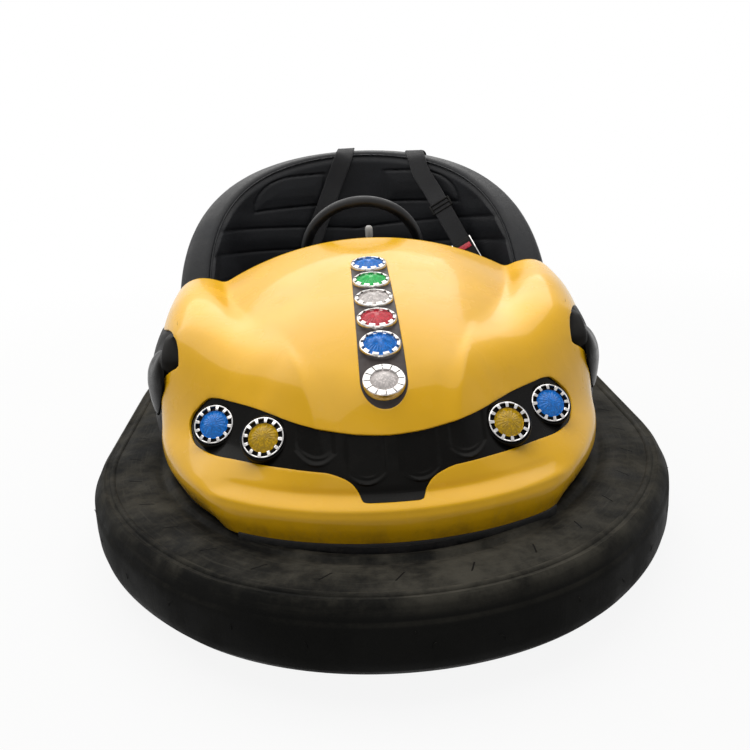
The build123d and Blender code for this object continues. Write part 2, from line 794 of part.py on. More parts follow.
BELTS = (
    # node, top (x, y, z), buckle (x, y, z)
    ("belt_left", (-33, 525, 734), (-165, 448, 420)),
    ("belt_right", (165, 486, 690), (290, 330, 480)),
)
for node, top, low in BELTS:
    plane = belt_plane(top, low)
    run = (Vector(*low) - Vector(*top)).length
    with BuildPart() as belt:
        with BuildSketch(plane):
            Rectangle(run, BELT_WIDTH)
        extrude(amount=BELT_THICK / 2, both=True)
        add(seat_back.part, mode=Mode.SUBTRACT)
    write(belt, node)

with BuildPart() as belt_buckles:
    for _, top, low in BELTS:
        plane = belt_plane(top, low)
        run = (Vector(*low) - Vector(*top)).length
        with BuildSketch(plane):
            with Locations((run / 2 + BUCKLE_LENGTH / 2, 0)):
                RectangleRounded(BUCKLE_LENGTH, BUCKLE_WIDTH, 6)
        extrude(amount=BUCKLE_THICK / 2, both=True)
    add(seat_back.part, mode=Mode.SUBTRACT)
write(belt_buckles, "belt_buckles")

# ============================================================ steering
with BuildPart() as steering_gearbox:
    with Locations((0, DRIVE_Y, bridge_top)):
        Box(GEARBOX_X, GEARBOX_Y, GEARBOX_Z, align=(Align.CENTER, Align.CENTER, Align.MIN))
    fillet(steering_gearbox.edges().filter_by(Axis.Z), 14)
    with BuildSketch(Plane.XY.offset(bridge_top)):
        with Locations((0, DRIVE_Y)):
            Circle(KINGPIN_R + RUNNING_GAP)
    extrude(amount=KINGPIN_RISE, mode=Mode.SUBTRACT)
write(steering_gearbox, "steering_gearbox")

with BuildPart() as steering_column:
    add(column_bore(COLUMN_R, COLUMN_START, column_end))
    add(column_bore(SHAFT_R + RUNNING_GAP, COLUMN_START, column_end), mode=Mode.SUBTRACT)
    with Locations((0, DRIVE_Y, bridge_top)):
        Box(
            GEARBOX_X,
            GEARBOX_Y,
            GEARBOX_Z,
            align=(Align.CENTER, Align.CENTER, Align.MIN),
            mode=Mode.SUBTRACT,
        )
write(steering_column, "steering_column")

with BuildPart() as column_lever:
    with BuildSketch(Plane.XY.offset(LEVER_TOP - LEVER_LENGTH)):
        with Locations((LEVER_X, LEVER_Y)):
            Circle(LEVER_R)
    extrude(amount=LEVER_LENGTH)
    fillet(column_lever.edges().group_by(Axis.Z)[-1], LEVER_R * 0.8)
    add(column_bore(COLUMN_R, COLUMN_START, column_end), mode=Mode.SUBTRACT)
    split(bisect_by=Plane.XY.offset(LEVER_TOP - LEVER_LENGTH + 2 * LEVER_R), keep=Keep.TOP)
write(column_lever, "column_lever")

with BuildPart() as steering_rim:
    with Locations(column_plane(0)):
        Torus(STEER_R, STEER_TUBE_R)
write(steering_rim, "steering_rim")

with BuildPart() as steering_hub:
    with BuildSketch(column_plane(HUB_HALF)):
        Circle(HUB_R)
    extrude(amount=2 * HUB_HALF)
    with BuildSketch(column_plane(SPOKE_THICK / 2)):
        for angle in (0, 90, 180):
            with Locations(Location((0, 0, 0), (0, 0, angle))):
                with Locations((STEER_R / 2, 0)):
                    Rectangle(STEER_R, SPOKE_WIDTH)
    extrude(amount=SPOKE_THICK)
    add(column_bore(SHAFT_R, HUB_HALF, shaft_end))
    add(steering_rim.part, mode=Mode.SUBTRACT)
write(steering_hub, "steering_hub")

# ============================================================ drive unit
with BuildPart() as drive_bridge:
    with BuildSketch(Plane.XZ.offset(-DRIVE_Y - BRIDGE_LENGTH / 2)):
        with BuildLine():
            Polyline(
                (-bridge_half, PAN_TOP),
                (-bridge_half, bridge_top),
                (bridge_half, bridge_top),
                (bridge_half, PAN_TOP),
                (bridge_half - PANEL_WALL, PAN_TOP),
                (bridge_half - PANEL_WALL, bridge_top - PANEL_WALL),
                (-bridge_half + PANEL_WALL, bridge_top - PANEL_WALL),
                (-bridge_half + PANEL_WALL, PAN_TOP),
                (-bridge_half, PAN_TOP),
            )
        make_face()
    extrude(amount=BRIDGE_LENGTH)
    with BuildSketch(Plane.XY.offset(fork_top + SOFT_GAP)):
        with Locations((0, DRIVE_Y)):
            Circle(TURNTABLE_R)
    extrude(amount=bridge_top - PANEL_WALL - fork_top - SOFT_GAP)
    with BuildSketch(Plane.XY.offset(fork_top)):
        with Locations((0, DRIVE_Y)):
            Circle(KINGPIN_R + RUNNING_GAP)
    extrude(amount=bridge_top - fork_top, mode=Mode.SUBTRACT)
write(drive_bridge, "drive_bridge")

fork_inner = DRIVE_WIDTH / 2 + FORK_GAP
with BuildPart() as drive_fork:
    with BuildSketch(Plane.XY.offset(fork_top - FORK_PLATE)):
        with Locations((0, DRIVE_Y)):
            Circle(TURNTABLE_R)
    extrude(amount=FORK_PLATE)
    with BuildSketch(Plane.YZ.offset(fork_inner)):
        with Locations((DRIVE_Y, WHEEL_R)):
            Circle(FORK_HALF)
        with Locations((DRIVE_Y, WHEEL_R)):
            Rectangle(2 * FORK_HALF, fork_top - FORK_PLATE - WHEEL_R, align=(Align.CENTER, Align.MIN))
    extrude(amount=FORK_PLATE)
    mirror(about=Plane.YZ)
    with BuildSketch(Plane.YZ.offset(-fork_inner)):
        with Locations((DRIVE_Y, WHEEL_R)):
            Circle(AXLE_R)
    extrude(amount=2 * fork_inner)
    with BuildSketch(Plane.XY.offset(fork_top)):
        with Locations((0, DRIVE_Y)):
            Circle(KINGPIN_R)
    extrude(amount=bridge_top - fork_top + KINGPIN_RISE - SOFT_GAP)
write(drive_fork, "drive_fork")

with BuildPart() as drive_motor:
    with BuildSketch(Plane.YZ.offset(fork_inner + FORK_PLATE)):
        with Locations((DRIVE_Y, WHEEL_R + MOTOR_RISE)):
            Circle(MOTOR_R)
    extrude(amount=MOTOR_LENGTH)
    fillet(drive_motor.faces().sort_by(Axis.X)[-1].edges(), 10)
write(drive_motor, "drive_motor")

# ============================================================ wheels
WHEELS = (
    # hub node, tyre node, x, y, width
    ("drive_hub", "drive_tyre", 0, DRIVE_Y, DRIVE_WIDTH),
    ("rear_hub_left", "rear_tyre_left", -REAR_X, REAR_Y, REAR_WIDTH),
    ("rear_hub_right", "rear_tyre_right", REAR_X, REAR_Y, REAR_WIDTH),
)
hub_r = WHEEL_R - TREAD_DEPTH
for hub_node, tyre_node, x, y, width in WHEELS:
    with BuildPart() as hub:
        with BuildSketch(Plane.YZ.offset(x)):
            with Locations((y, WHEEL_R)):
                Circle(hub_r)
        extrude(amount=width / 2 - HUB_RECESS, both=True)
        with BuildSketch(Plane.YZ.offset(x)):
            with Locations((y, WHEEL_R)):
                Circle(BOSS_R)
        extrude(amount=width / 2 + BOSS_PROUD, both=True)
        with BuildSketch(Plane.YZ.offset(x)):
            with Locations((y, WHEEL_R)):
                Circle(AXLE_R + RUNNING_GAP)
        extrude(amount=width, both=True, mode=Mode.SUBTRACT)
    write(hub, hub_node)
    with BuildPart() as tyre:
        with BuildSketch(Plane.YZ.offset(x)):
            with Locations((y, WHEEL_R)):
                Circle(WHEEL_R)
                Circle(hub_r, mode=Mode.SUBTRACT)
        extrude(amount=width / 2, both=True)
        rims = tyre.edges().filter_by(GeomType.CIRCLE).group_by(SortBy.RADIUS)[-1]
        fillet(rims, TREAD_DEPTH / 3)
    write(tyre, tyre_node)

with BuildPart() as rear_axle:
    with BuildSketch(Plane.YZ):
        with Locations((REAR_Y, WHEEL_R)):
            Circle(AXLE_R)
    extrude(amount=REAR_X + REAR_WIDTH / 2 + BOSS_PROUD + 2 * COLLAR_GAP + COLLAR_WIDTH, both=True)
    for x in (REAR_X - collar_offset, REAR_X + collar_offset):
        with BuildSketch(Plane.YZ.offset(x - COLLAR_WIDTH / 2)):
            with Locations((REAR_Y, WHEEL_R)):
                Circle(BOSS_R)
        extrude(amount=COLLAR_WIDTH)
    with BuildSketch(Plane.YZ.offset(BRACKET_X)):
        with Locations((REAR_Y, PAN_TOP)):
            Rectangle(3 * BOSS_R, WHEEL_R + BOSS_R - PAN_TOP, align=(Align.CENTER, Align.MIN))
    extrude(amount=PANEL_WALL)
    mirror(about=Plane.YZ)
write(rear_axle, "rear_axle")
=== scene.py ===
"""Dressing of a battery bumper car: rubber ring, glossy shells, lamps, seat, cockpit and running gear.

Sizes are in metres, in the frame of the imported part: nose towards -Y, floor at Z 0.
"""

from contextlib import contextmanager
from math import atan2, cos, exp, hypot, pi, radians, sin, tau

import bmesh
import bpy
import numpy as np
from mathutils import Matrix, Vector


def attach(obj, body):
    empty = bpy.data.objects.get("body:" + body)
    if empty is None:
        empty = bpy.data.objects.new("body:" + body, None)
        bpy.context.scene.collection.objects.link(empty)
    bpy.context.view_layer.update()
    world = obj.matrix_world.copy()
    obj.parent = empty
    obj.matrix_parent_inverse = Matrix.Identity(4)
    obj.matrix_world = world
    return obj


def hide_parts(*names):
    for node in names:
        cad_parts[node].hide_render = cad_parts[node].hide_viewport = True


bl_info = {
    "name": "Bumper car dressing",
    "version": (1, 0, 0),
    "blender": (4, 5, 0),
    "location": "View3D > Sidebar > Bumper car",
    "description": "Models the ring, shells, lamps, seat, cockpit and running gear of a bumper car",
    "category": "Object",
}

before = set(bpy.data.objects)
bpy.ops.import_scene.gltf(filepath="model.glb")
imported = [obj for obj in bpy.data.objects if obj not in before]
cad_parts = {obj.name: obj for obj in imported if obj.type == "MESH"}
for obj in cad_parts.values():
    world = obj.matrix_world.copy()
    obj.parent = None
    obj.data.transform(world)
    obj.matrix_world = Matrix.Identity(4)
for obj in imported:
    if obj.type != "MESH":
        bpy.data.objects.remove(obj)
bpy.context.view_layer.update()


# ---- sizes and colours

def length(name, description, default):
    """A size property in metres."""
    return bpy.props.FloatProperty(name=name, description=description, default=default, min=0, unit="LENGTH")


def colour(name, description, default):
    """A colour property."""
    return bpy.props.FloatVectorProperty(
        name=name, description=description, default=default, size=3, min=0.0, max=1.0, subtype="COLOR"
    )


class RingSizes(bpy.types.PropertyGroup):
    """Sizes of the rubber ring."""

    nose_radius: length("Nose radius", "Plan radius of the ring's outer edge at the nose", 0.5)
    half_length: length("Half length", "Ring centre to the outer edge at the nose", 0.975)
    half_width: length("Half width", "Ring centre to the outer edge at the side", 0.6)
    side_radius: length("Side radius", "Plan radius of the ring's outer edge along the side", 0.878)
    straight: length("Half straight", "Ring centre to the end of the straight side", 0.219)
    width: length("Width", "Inner edge to outer edge of the rubber", 0.165)
    low: length("Low", "Height of the underside", 0.05)
    top: length("Top", "Height of the top", 0.182)
    sipe_pitch: length("Cut spacing", "Distance between the short slanted cuts", 0.141)
    sipe_length: length("Cut length", "Length of a slanted cut", 0.026)


class ShellSizes(bpy.types.PropertyGroup):
    """Sizes of the nose and tail shells."""

    wall: length("Wall", "Thickness of the moulding", 0.006)
    low: length("Bottom edge", "Height of the shells' bottom edge", 0.187)
    rounding: length("Shoulder rounding", "How broadly the hood rolls into the walls", 0.075)
    lip: length("Lip radius", "Rounding of a moulded edge", 0.0013)


class LampSizes(bpy.types.PropertyGroup):
    """Sizes of the round lamps."""

    bezel_radius: length("Bezel radius", "Outer radius of the bright ring", 0.0375)
    lens_radius: length("Lens radius", "Radius of the coloured lens", 0.028)
    proud: length("Proud", "Bezel's height over the panel", 0.006)
    dome: length("Dome", "Height of the lens over the bezel's seat", 0.009)


class CarColours(bpy.types.PropertyGroup):
    """Colours of the car."""

    body: colour("Body", "Gel coat of the nose and tail", (0.80, 0.432, 0.006))
    black: colour("Black", "Black mouldings", (0.0042, 0.0038, 0.0033))
    rubber: colour("Rubber", "Rubber of the ring", (0.0068, 0.0068, 0.0064))
    dust: colour("Dust", "Dust on the ring", (0.056, 0.052, 0.042))
    leather: colour("Leather", "Seat cover", (0.0085, 0.009, 0.0105))
    blue: colour("Blue lens", "Blue lamp lenses", (0.007, 0.165, 0.58))
    green: colour("Green lens", "Green lamp lens", (0.015, 0.46, 0.09))
    red: colour("Red lens", "Red lamp lenses", (0.56, 0.04, 0.06))
    yellow: colour("Yellow lens", "Yellow headlamp lenses", (0.455, 0.275, 0.003))
    clear: colour("Clear lens", "Clear lamp lenses", (0.6, 0.55, 0.53))


GROUPS = {"car_ring": RingSizes, "car_shell": ShellSizes, "car_lamps": LampSizes, "car_colours": CarColours}


# ---- shaders

class Signal:
    """A shader socket that takes part in sums as a number does."""

    def __init__(self, nodes, socket):
        self.nodes, self.socket = nodes, socket

    def maths(self, operation, *values):
        return self.nodes.node("ShaderNodeMath", {"operation": operation}, dict(enumerate(values)))

    def __add__(self, other):
        return self.maths("ADD", self, other)

    def __sub__(self, other):
        return self.maths("SUBTRACT", self, other)

    def __rsub__(self, other):
        return self.maths("SUBTRACT", other, self)

    def __mul__(self, other):
        return self.maths("MULTIPLY", self, other)

    def __truediv__(self, other):
        return self.maths("DIVIDE", self, other)

    def __abs__(self):
        return self.maths("ABSOLUTE", self)

    __radd__ = __add__
    __rmul__ = __mul__


class Nodes:
    """The node tree of a material or of the world, and the one way to add nodes to it."""

    def __init__(self, tree):
        self.tree = tree

    def feed(self, socket, value):
        """Links a signal to a socket, or sets the socket's own value."""
        if isinstance(value, Signal):
            self.tree.links.new(value.socket, socket)
        else:
            socket.default_value = value

    def node(self, kind, settings=None, inputs=None, output=0):
        """Adds a node with its settings, then its inputs, and returns one of its outputs."""
        node = self.tree.nodes.new(kind)
        for setting, value in (settings or {}).items():
            setattr(node, setting, value)
        for socket, value in (inputs or {}).items():
            self.feed(node.inputs[socket], value)
        return Signal(self, node.outputs[output]) if node.outputs else None

    def pale_rays(self):
        """1 for the rays that see the white surroundings as they are, which light nothing."""
        rays = self.node("ShaderNodeLightPath").socket.node.outputs
        camera, gloss, glass = (Signal(self, rays[name]) for name in PALE_RAYS)
        return camera + gloss + glass


class Finish(Nodes):
    """A material and the patterns that it is made of."""

    def __init__(self, name, sockets):
        self.material = bpy.data.materials.new(name)
        self.material.use_nodes = True
        super().__init__(self.material.node_tree)
        self.shader = self.tree.nodes["Principled BSDF"]
        self.set(sockets)

    def set(self, sockets):
        """Sets or links the main shader's sockets."""
        for socket, value in sockets.items():
            self.feed(self.shader.inputs[socket], value)

    def surface(self, colour, roughness, normal):
        """Feeds what changes over the surface, and returns the finished material."""
        self.set({"Base Color": colour, "Roughness": roughness, "Normal": normal})
        return self.material

    def place(self):
        """Object coordinates."""
        return self.node("ShaderNodeTexCoord", output="Object")

    def attribute(self, name):
        """A named attribute of the mesh."""
        return self.node("ShaderNodeAttribute", {"attribute_name": name}, output="Fac")

    def axes(self, vector):
        """The three parts of a vector."""
        split = self.node("ShaderNodeSeparateXYZ", None, {0: vector})
        return [Signal(self, socket) for socket in split.socket.node.outputs]

    def noise(self, scale, detail=2.0, rough=0.5, vector=None):
        """Noise from 0 to 1 with that many grains to the metre."""
        inputs = {"Vector": vector or self.place(), "Scale": scale, "Detail": detail, "Roughness": rough}
        return self.node("ShaderNodeTexNoise", None, inputs)

    def streaks(self, x, y, detail, rough):
        """Noise over two signals in place of coordinates."""
        return self.noise(1.0, detail, rough, self.node("ShaderNodeCombineXYZ", None, {0: x, 1: y}))

    def cells(self, scale, feature="F1"):
        """Distance to the nearest of that many cells to the metre."""
        inputs = {"Vector": self.place(), "Scale": scale}
        return self.node("ShaderNodeTexVoronoi", {"feature": feature}, inputs, "Distance")

    def between(self, value, low, high, start=0.0, end=1.0):
        """A smooth step of a value from start to end."""
        limits = {"Value": value, "From Min": low, "From Max": high, "To Min": start, "To Max": end}
        return self.node("ShaderNodeMapRange", {"interpolation_type": "SMOOTHSTEP"}, limits)

    def mix(self, share, first, second):
        """Colour between two colours."""
        first, second = (v if isinstance(v, Signal) else (*v, 1.0) for v in (first, second))
        return self.node("ShaderNodeMix", {"data_type": "RGBA"}, {0: share, 6: first, 7: second}, 2)

    def bump(self, height, distance, strength=1.0):
        """Normals of a height signal, distance in metres."""
        inputs = {"Height": height, "Distance": distance, "Strength": strength}
        return self.node("ShaderNodeBump", None, inputs)


def shade(tint, share):
    """A darker or lighter version of a colour."""
    return tuple(min(1.0, c * share) for c in tint)


def gel_coat(colours):
    """Glossy polyester shell, with faint orange peel, polishing haze and blotchy darkening towards its bottom
    edge.
    """
    coat = {"Coat Weight": 0.24, "Coat Roughness": 0.06, "Coat IOR": 1.5}
    f = Finish("gel_coat", {**coat, "Specular IOR Level": 0.1})
    height = f.axes(f.place())[2]
    # blotchy darkening towards the shell's bottom edge, which is also rougher there
    low_darkening = f.between(height, 0.245, 0.185) * f.between(f.noise(26.0, 5.0, 0.65), 0.35, 0.75)
    haze = f.between(f.noise(190.0, 4.0, 0.7), 0.62, 0.8)
    cloud = f.between(f.noise(5.0, 3.0), 0.35, 0.7)
    base = f.mix(cloud, shade(colours.body, 0.93), shade(colours.body, 1.04))
    base = f.mix(low_darkening * 0.5, base, (0.16, 0.075, 0.018))
    base = f.mix(haze * 0.07, base, (0.5, 0.3, 0.08))
    return f.surface(
        base,
        f.between(f.noise(12.0, 4.0), 0.3, 0.8, 0.2, 0.34) + low_darkening * 0.25,
        f.bump(f.noise(210.0, 2.0) + f.noise(48.0, 1.0) * 1.5, 0.00016, 0.55),
    )


def gloss_black(colours):
    """Painted black moulding with dust in its hollows."""
    f = Finish("gloss_black", {"Coat Weight": 0.03, "Coat Roughness": 0.1, "Specular IOR Level": 0.035})
    dust = f.between(f.noise(34.0, 6.0, 0.7), 0.45, 0.8)
    return f.surface(
        f.mix(dust * 0.22, tuple(colours.black), (0.014, 0.0125, 0.01)),
        f.between(f.noise(60.0, 4.0), 0.3, 0.8, 0.2, 0.34),
        f.bump(f.noise(300.0, 2.0), 0.0001, 0.4),
    )


def satin_black(_):
    """Textured black sheet and moulded plastic."""
    f = Finish("satin_black", {"Specular IOR Level": 0.1})
    wear = f.between(f.noise(22.0, 6.0, 0.7), 0.5, 0.85)
    return f.surface(
        f.mix(wear * 0.35, (0.008, 0.0075, 0.007), (0.032, 0.029, 0.025)),
        f.between(f.noise(40.0, 3.0), 0.3, 0.7, 0.45, 0.62),
        f.bump(f.cells(900.0), 0.0002, 0.5),
    )


def ring_rubber(colours):
    """Dusty moulded rubber: slanted cuts on top, upright scuffs on the wall, in the ring's coordinates; the
    cuts are painted darker than clean rubber, as shade inside them.
    """
    sizes = bpy.context.scene.car_ring
    f = Finish("ring_rubber", {"Specular IOR Level": 0.03})
    along, across = f.attribute("along"), f.attribute("across")
    blotch = f.noise(3.2, 6.0, 0.62)
    patch = f.noise(17.0, 7.0, 0.7)
    streak = f.streaks(along * 7.0, across * 160.0, 4.0, 0.6)
    upright = f.streaks(along * 130.0, across * 9.0, 5.0, 0.65)
    on_top = f.between(f.axes(f.node("ShaderNodeNewGeometry", output="Normal"))[2], 0.25, 0.8)
    on_wall = 1 - on_top
    # a short cut every pitch, leaning across the top
    from_middle = across - 0.084
    place_in_pitch = along / sizes.sipe_pitch + 0.37
    step = place_in_pitch.maths("FRACT", place_in_pitch)
    offset = abs(step - 0.5 + from_middle * (0.75 / sizes.sipe_pitch))
    ends = f.between(abs(from_middle), sizes.sipe_length * 0.5, sizes.sipe_length * 0.4)
    cut = f.between(offset, 0.016, 0.008) * ends * on_top
    dust = f.between(blotch * 0.55 + patch * 0.45, 0.42, 0.66) * (on_top * 0.85 + 0.03)
    rub = f.between(streak, 0.5, 0.74) * 0.35
    grey = f.mix(dust, tuple(colours.rubber), tuple(colours.dust))
    grey = f.mix(rub * on_top, grey, (0.052, 0.049, 0.04))
    grey = f.mix(f.between(upright, 0.6, 0.8) * on_wall * 0.2, grey, (0.042, 0.042, 0.039))
    # the cuts hold no dust and are painted darker than the clean rubber, as shade inside them
    grey = f.mix(cut * 0.9, grey, (0.004, 0.004, 0.004))
    height = patch * 0.5 + streak * 0.35 + f.noise(420.0, 3.0, 0.6) * 0.25
    height = height - cut * 3.0 + upright * on_wall * 0.5
    roughness = f.between(f.noise(9.0, 5.0, 0.6), 0.3, 0.7, 0.5, 0.74) + dust * 0.12
    return f.surface(grey, roughness, f.bump(height, 0.0011, 0.8))


def tread_rubber(_):
    """Plain black rubber of the road wheels, mats and boots."""
    f = Finish("tread_rubber", {"Specular IOR Level": 0.2})
    dust = f.between(f.noise(45.0, 6.0, 0.7), 0.45, 0.75)
    return f.surface(
        f.mix(dust * 0.5, (0.013, 0.013, 0.013), (0.05, 0.046, 0.04)),
        f.between(dust, 0.0, 1.0, 0.5, 0.8),
        f.bump(f.noise(500.0, 4.0), 0.0003, 0.6),
    )


def grip_rubber(_):
    """Soft grained rim of the steering wheel, polished where it is held."""
    f = Finish("grip_rubber", {"Specular IOR Level": 0.25})
    held = f.between(f.noise(14.0, 3.0), 0.4, 0.7)
    return f.surface(
        f.mix(held, (0.010, 0.010, 0.011), (0.019, 0.019, 0.02)),
        f.between(held, 0.0, 1.0, 0.34, 0.52),
        f.bump(f.cells(750.0), 0.0002, 0.6),
    )


def leather(colours):
    """Black upholstery vinyl: pebble grain with fine creases and soft wear."""
    f = Finish("black_leather", {"Sheen Weight": 0.03, "Sheen Roughness": 0.4, "Specular IOR Level": 0.15})
    grain = f.cells(620.0) + f.cells(270.0, "SMOOTH_F1") * 0.8
    crease = f.between(f.noise(60.0, 6.0, 0.7), 0.4, 0.6)
    worn = f.between(f.noise(6.0, 4.0, 0.6), 0.45, 0.75)
    return f.surface(
        f.mix(worn * 0.6 + f.noise(90.0, 2.0) * 0.2, tuple(colours.leather), shade(colours.leather, 2.1)),
        f.between(worn, 0.0, 1.0, 0.4, 0.54) + crease * 0.05,
        f.bump(grain + crease * 0.5, 0.00045, 0.55),
    )


def webbing(_):
    """Woven belt: ribs across and a fine weave along, from the strap's own coordinates."""
    f = Finish("webbing", {"Sheen Weight": 0.1, "Sheen Roughness": 0.5, "Specular IOR Level": 0.2})
    u, v, _ = f.axes(f.node("ShaderNodeUVMap", {"uv_map": "UVMap"}))
    weave = u.maths("SINE", u * 5200.0) * v.maths("SINE", v * 2600.0)
    colour = f.mix(weave * 0.25 + 0.5, (0.008, 0.008, 0.009), (0.026, 0.026, 0.028))
    return f.surface(colour, 0.72, f.bump(weave, 0.0003, 0.7))


def chrome(_):
    """Bright plating, lightly fogged, with lighter and darker patches painted in as reflections of varied
    surroundings.
    """
    f = Finish("chrome", {"Metallic": 1.0})
    fog_and_reflection_patches = f.between(f.noise(90.0, 5.0, 0.7), 0.35, 0.75)
    # light and dark patches of colour are painted reflections; the same patches set the fog's roughness
    colour = f.mix(fog_and_reflection_patches, (0.6, 0.59, 0.58), (0.33, 0.31, 0.3))
    f.set({"Base Color": colour, "Roughness": f.between(fog_and_reflection_patches, 0, 1, 0.07, 0.2)})
    return f.material


def steel(name, fresh, worn, rough, metal, gloss):
    """Painted, cast or bare metal, or plain plastic, with worn patches."""
    f = Finish(name, {"Metallic": metal, "Specular IOR Level": gloss})
    return f.surface(
        f.mix(f.between(f.noise(38.0, 7.0, 0.7), 0.45, 0.75), fresh, worn),
        f.between(f.noise(70.0, 4.0), 0.3, 0.7, rough, rough + 0.15),
        f.bump(f.noise(260.0, 3.0), 0.0002, 0.5),
    )


def lens(name, tint):
    """Moulded lens: deep colour broken by fine facets, under a clear face, with painted glints on the facets,
    painted dark depths in broad patches and a faint painted glow.
    """
    f = Finish(name, {"Coat Weight": 0.3, "Coat Roughness": 0.08, "IOR": 1.45, "Specular IOR Level": 0.1})
    facets = f.cells(260.0)
    # facet centres painted lighter as glints, their edges darker
    painted_glint_and_depth_tint = f.mix(f.between(facets, 0.7, 0.15), shade(tint, 0.72), shade(tint, 1.12))
    # broad darker patches painted in as the lens's dark depths
    painted_glint_and_depth_tint = f.mix(f.between(f.noise(120.0, 2.0), 0.38, 0.66) * 0.55, painted_glint_and_depth_tint, shade(tint, 0.5))
    # faint emission of the same colour: a painted glow that brightens the lens
    f.set({"Emission Color": painted_glint_and_depth_tint, "Emission Strength": 0.3})
    return f.surface(painted_glint_and_depth_tint, f.between(facets, 0.0, 0.8, 0.18, 0.3), f.bump(facets, 0.0003, 0.3))


PATTERNED = {
    "body_yellow": gel_coat,
    "gloss_black": gloss_black,
    "satin_black": satin_black,
    "ring_rubber": ring_rubber,
    "wheel_rubber": tread_rubber,
    "grip_rubber": grip_rubber,
    "chrome": chrome,
    "black_leather": leather,
    "webbing": webbing,
}
WORN = {
    # fresh colour, worn colour, roughness, metallic, specular level
    "strip_satin": ((0.03, 0.021, 0.02), (0.05, 0.037, 0.034), 0.42, 0.0, 0.2),
    "black_steel": ((0.012, 0.012, 0.013), (0.035, 0.03, 0.026), 0.38, 0.0, 0.25),
    "bare_steel": ((0.42, 0.41, 0.4), (0.28, 0.25, 0.22), 0.28, 1.0, 0.5),
    "cast_grey": ((0.16, 0.16, 0.165), (0.1, 0.098, 0.095), 0.45, 0.6, 0.5),
    "knob_pale": ((0.5, 0.49, 0.47), (0.42, 0.41, 0.39), 0.3, 0.0, 0.5),
    "battery_case": ((0.02, 0.022, 0.026), (0.035, 0.035, 0.036), 0.4, 0.0, 0.5),
}
FINISHES = {}


def finish(name):
    """The material of that name, made once."""
    colours = bpy.context.scene.car_colours
    if name not in FINISHES:
        if name in WORN:
            FINISHES[name] = steel(name, *WORN[name])
        elif name.startswith("lens_"):
            FINISHES[name] = lens(name, getattr(colours, name.removeprefix("lens_")))
        else:
            FINISHES[name] = PATTERNED[name](colours)
    return FINISHES[name]


# ---- modelling

def mm(*points):
    """Points given in millimetres."""
    return [tuple(v / 1000 for v in point) for point in points]


def shift(x, y, z):
    """Matrix that moves by a distance."""
    return Matrix.Translation((x, y, z))


def rotation(angle, axis):
    """Matrix that turns about an axis by an angle in radians."""
    return Matrix.Rotation(angle, 4, axis)


def unit(vector):
    """A vector, or rows of vectors, at length 1."""
    return vector / np.linalg.norm(vector, axis=-1, keepdims=True)


def run_length(points):
    """Distance along a line of points, from its start to each of them."""
    return np.concatenate([[0], np.cumsum(np.linalg.norm(np.diff(points, axis=0), axis=1))])


def resample(points, mark, at):
    """Points of a line, known at the rising marks, at other marks."""
    return np.stack([np.interp(at, mark, column) for column in np.asarray(points).T], -1)


def both_sides(points):
    """An outline's +X half, then its mirror image on the way back."""
    return list(points) + [(-x, y) for x, y in points[::-1]]


def mirrored_rows(rows):
    """Rows of points from the +X side to the middle, then their mirror image."""
    rows = np.array(rows)
    return np.concatenate([rows, (rows[::-1] * (-1, 1, 1))[1:]])


def clear_selection():
    """Deselects everything."""
    bpy.ops.object.select_all(action="DESELECT")


def pick(obj):
    """Selects one object alone and makes it the active one."""
    clear_selection()
    obj.select_set(True)
    bpy.context.view_layer.objects.active = obj
    return obj


def settle(obj):
    """Puts an object's place, turn and scale into its mesh."""
    pick(obj)
    bpy.ops.object.transform_apply(location=True, rotation=True, scale=True)
    return obj


@contextmanager
def edit_mode(obj, select="SELECT"):
    """Edit mode on one object, with all of its mesh selected, or none."""
    pick(obj)
    bpy.ops.object.mode_set(mode="EDIT")
    bpy.ops.mesh.select_all(action=select)
    yield
    bpy.ops.object.mode_set(mode="OBJECT")


def new_object(name, data):
    """A new object in the scene."""
    obj = bpy.data.objects.new(name, data)
    bpy.context.scene.collection.objects.link(obj)
    return obj


def modify(obj, kind, **settings):
    """Adds a modifier and applies it."""
    pick(obj)
    modifier = obj.modifiers.new(kind.title(), kind)
    for setting, value in settings.items():
        setattr(modifier, setting, value)
    bpy.ops.object.modifier_apply(modifier=modifier.name)
    return obj


def tidy(obj, gap=1e-5):
    """Merges doubles and turns all faces outwards."""
    with edit_mode(obj):
        bpy.ops.mesh.remove_doubles(threshold=gap)
        bpy.ops.mesh.normals_make_consistent(inside=False)
    return obj


def join(name, pieces):
    """Joins several meshes into one named piece."""
    clear_selection()
    for piece in pieces:
        piece.select_set(True)
    bpy.context.view_layer.objects.active = pieces[0]
    if len(pieces) > 1:
        bpy.ops.object.join()
    pieces[0].name = name
    pieces[0].data.name = name
    return pieces[0]


def copy_of(obj, matrix):
    """A copy with its own mesh, moved by a matrix."""
    other = obj.copy()
    other.data = obj.data.copy()
    bpy.context.scene.collection.objects.link(other)
    other.data.transform(matrix)
    if matrix.determinant() < 0:
        other.data.flip_normals()
    return other


def dress(obj, slot, body="root", replaces=(), smooth=38.0, skin=None):
    """Gives a finished piece its material, smooth shading, body and slot."""
    pick(obj)
    if smooth:
        bpy.ops.object.shade_smooth_by_angle(angle=radians(smooth))
    obj.data.materials.clear()
    obj.data.materials.append(finish(skin or slot))
    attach(obj, body)
    if replaces:
        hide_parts(*replaces)
    return obj


def face_towards(obj, direction, face=0):
    """Turns a whole sheet over where one of its faces looks away from a direction."""
    if obj.data.polygons[face].normal.dot(Vector(direction)) < 0:
        obj.data.flip_normals()
    return obj


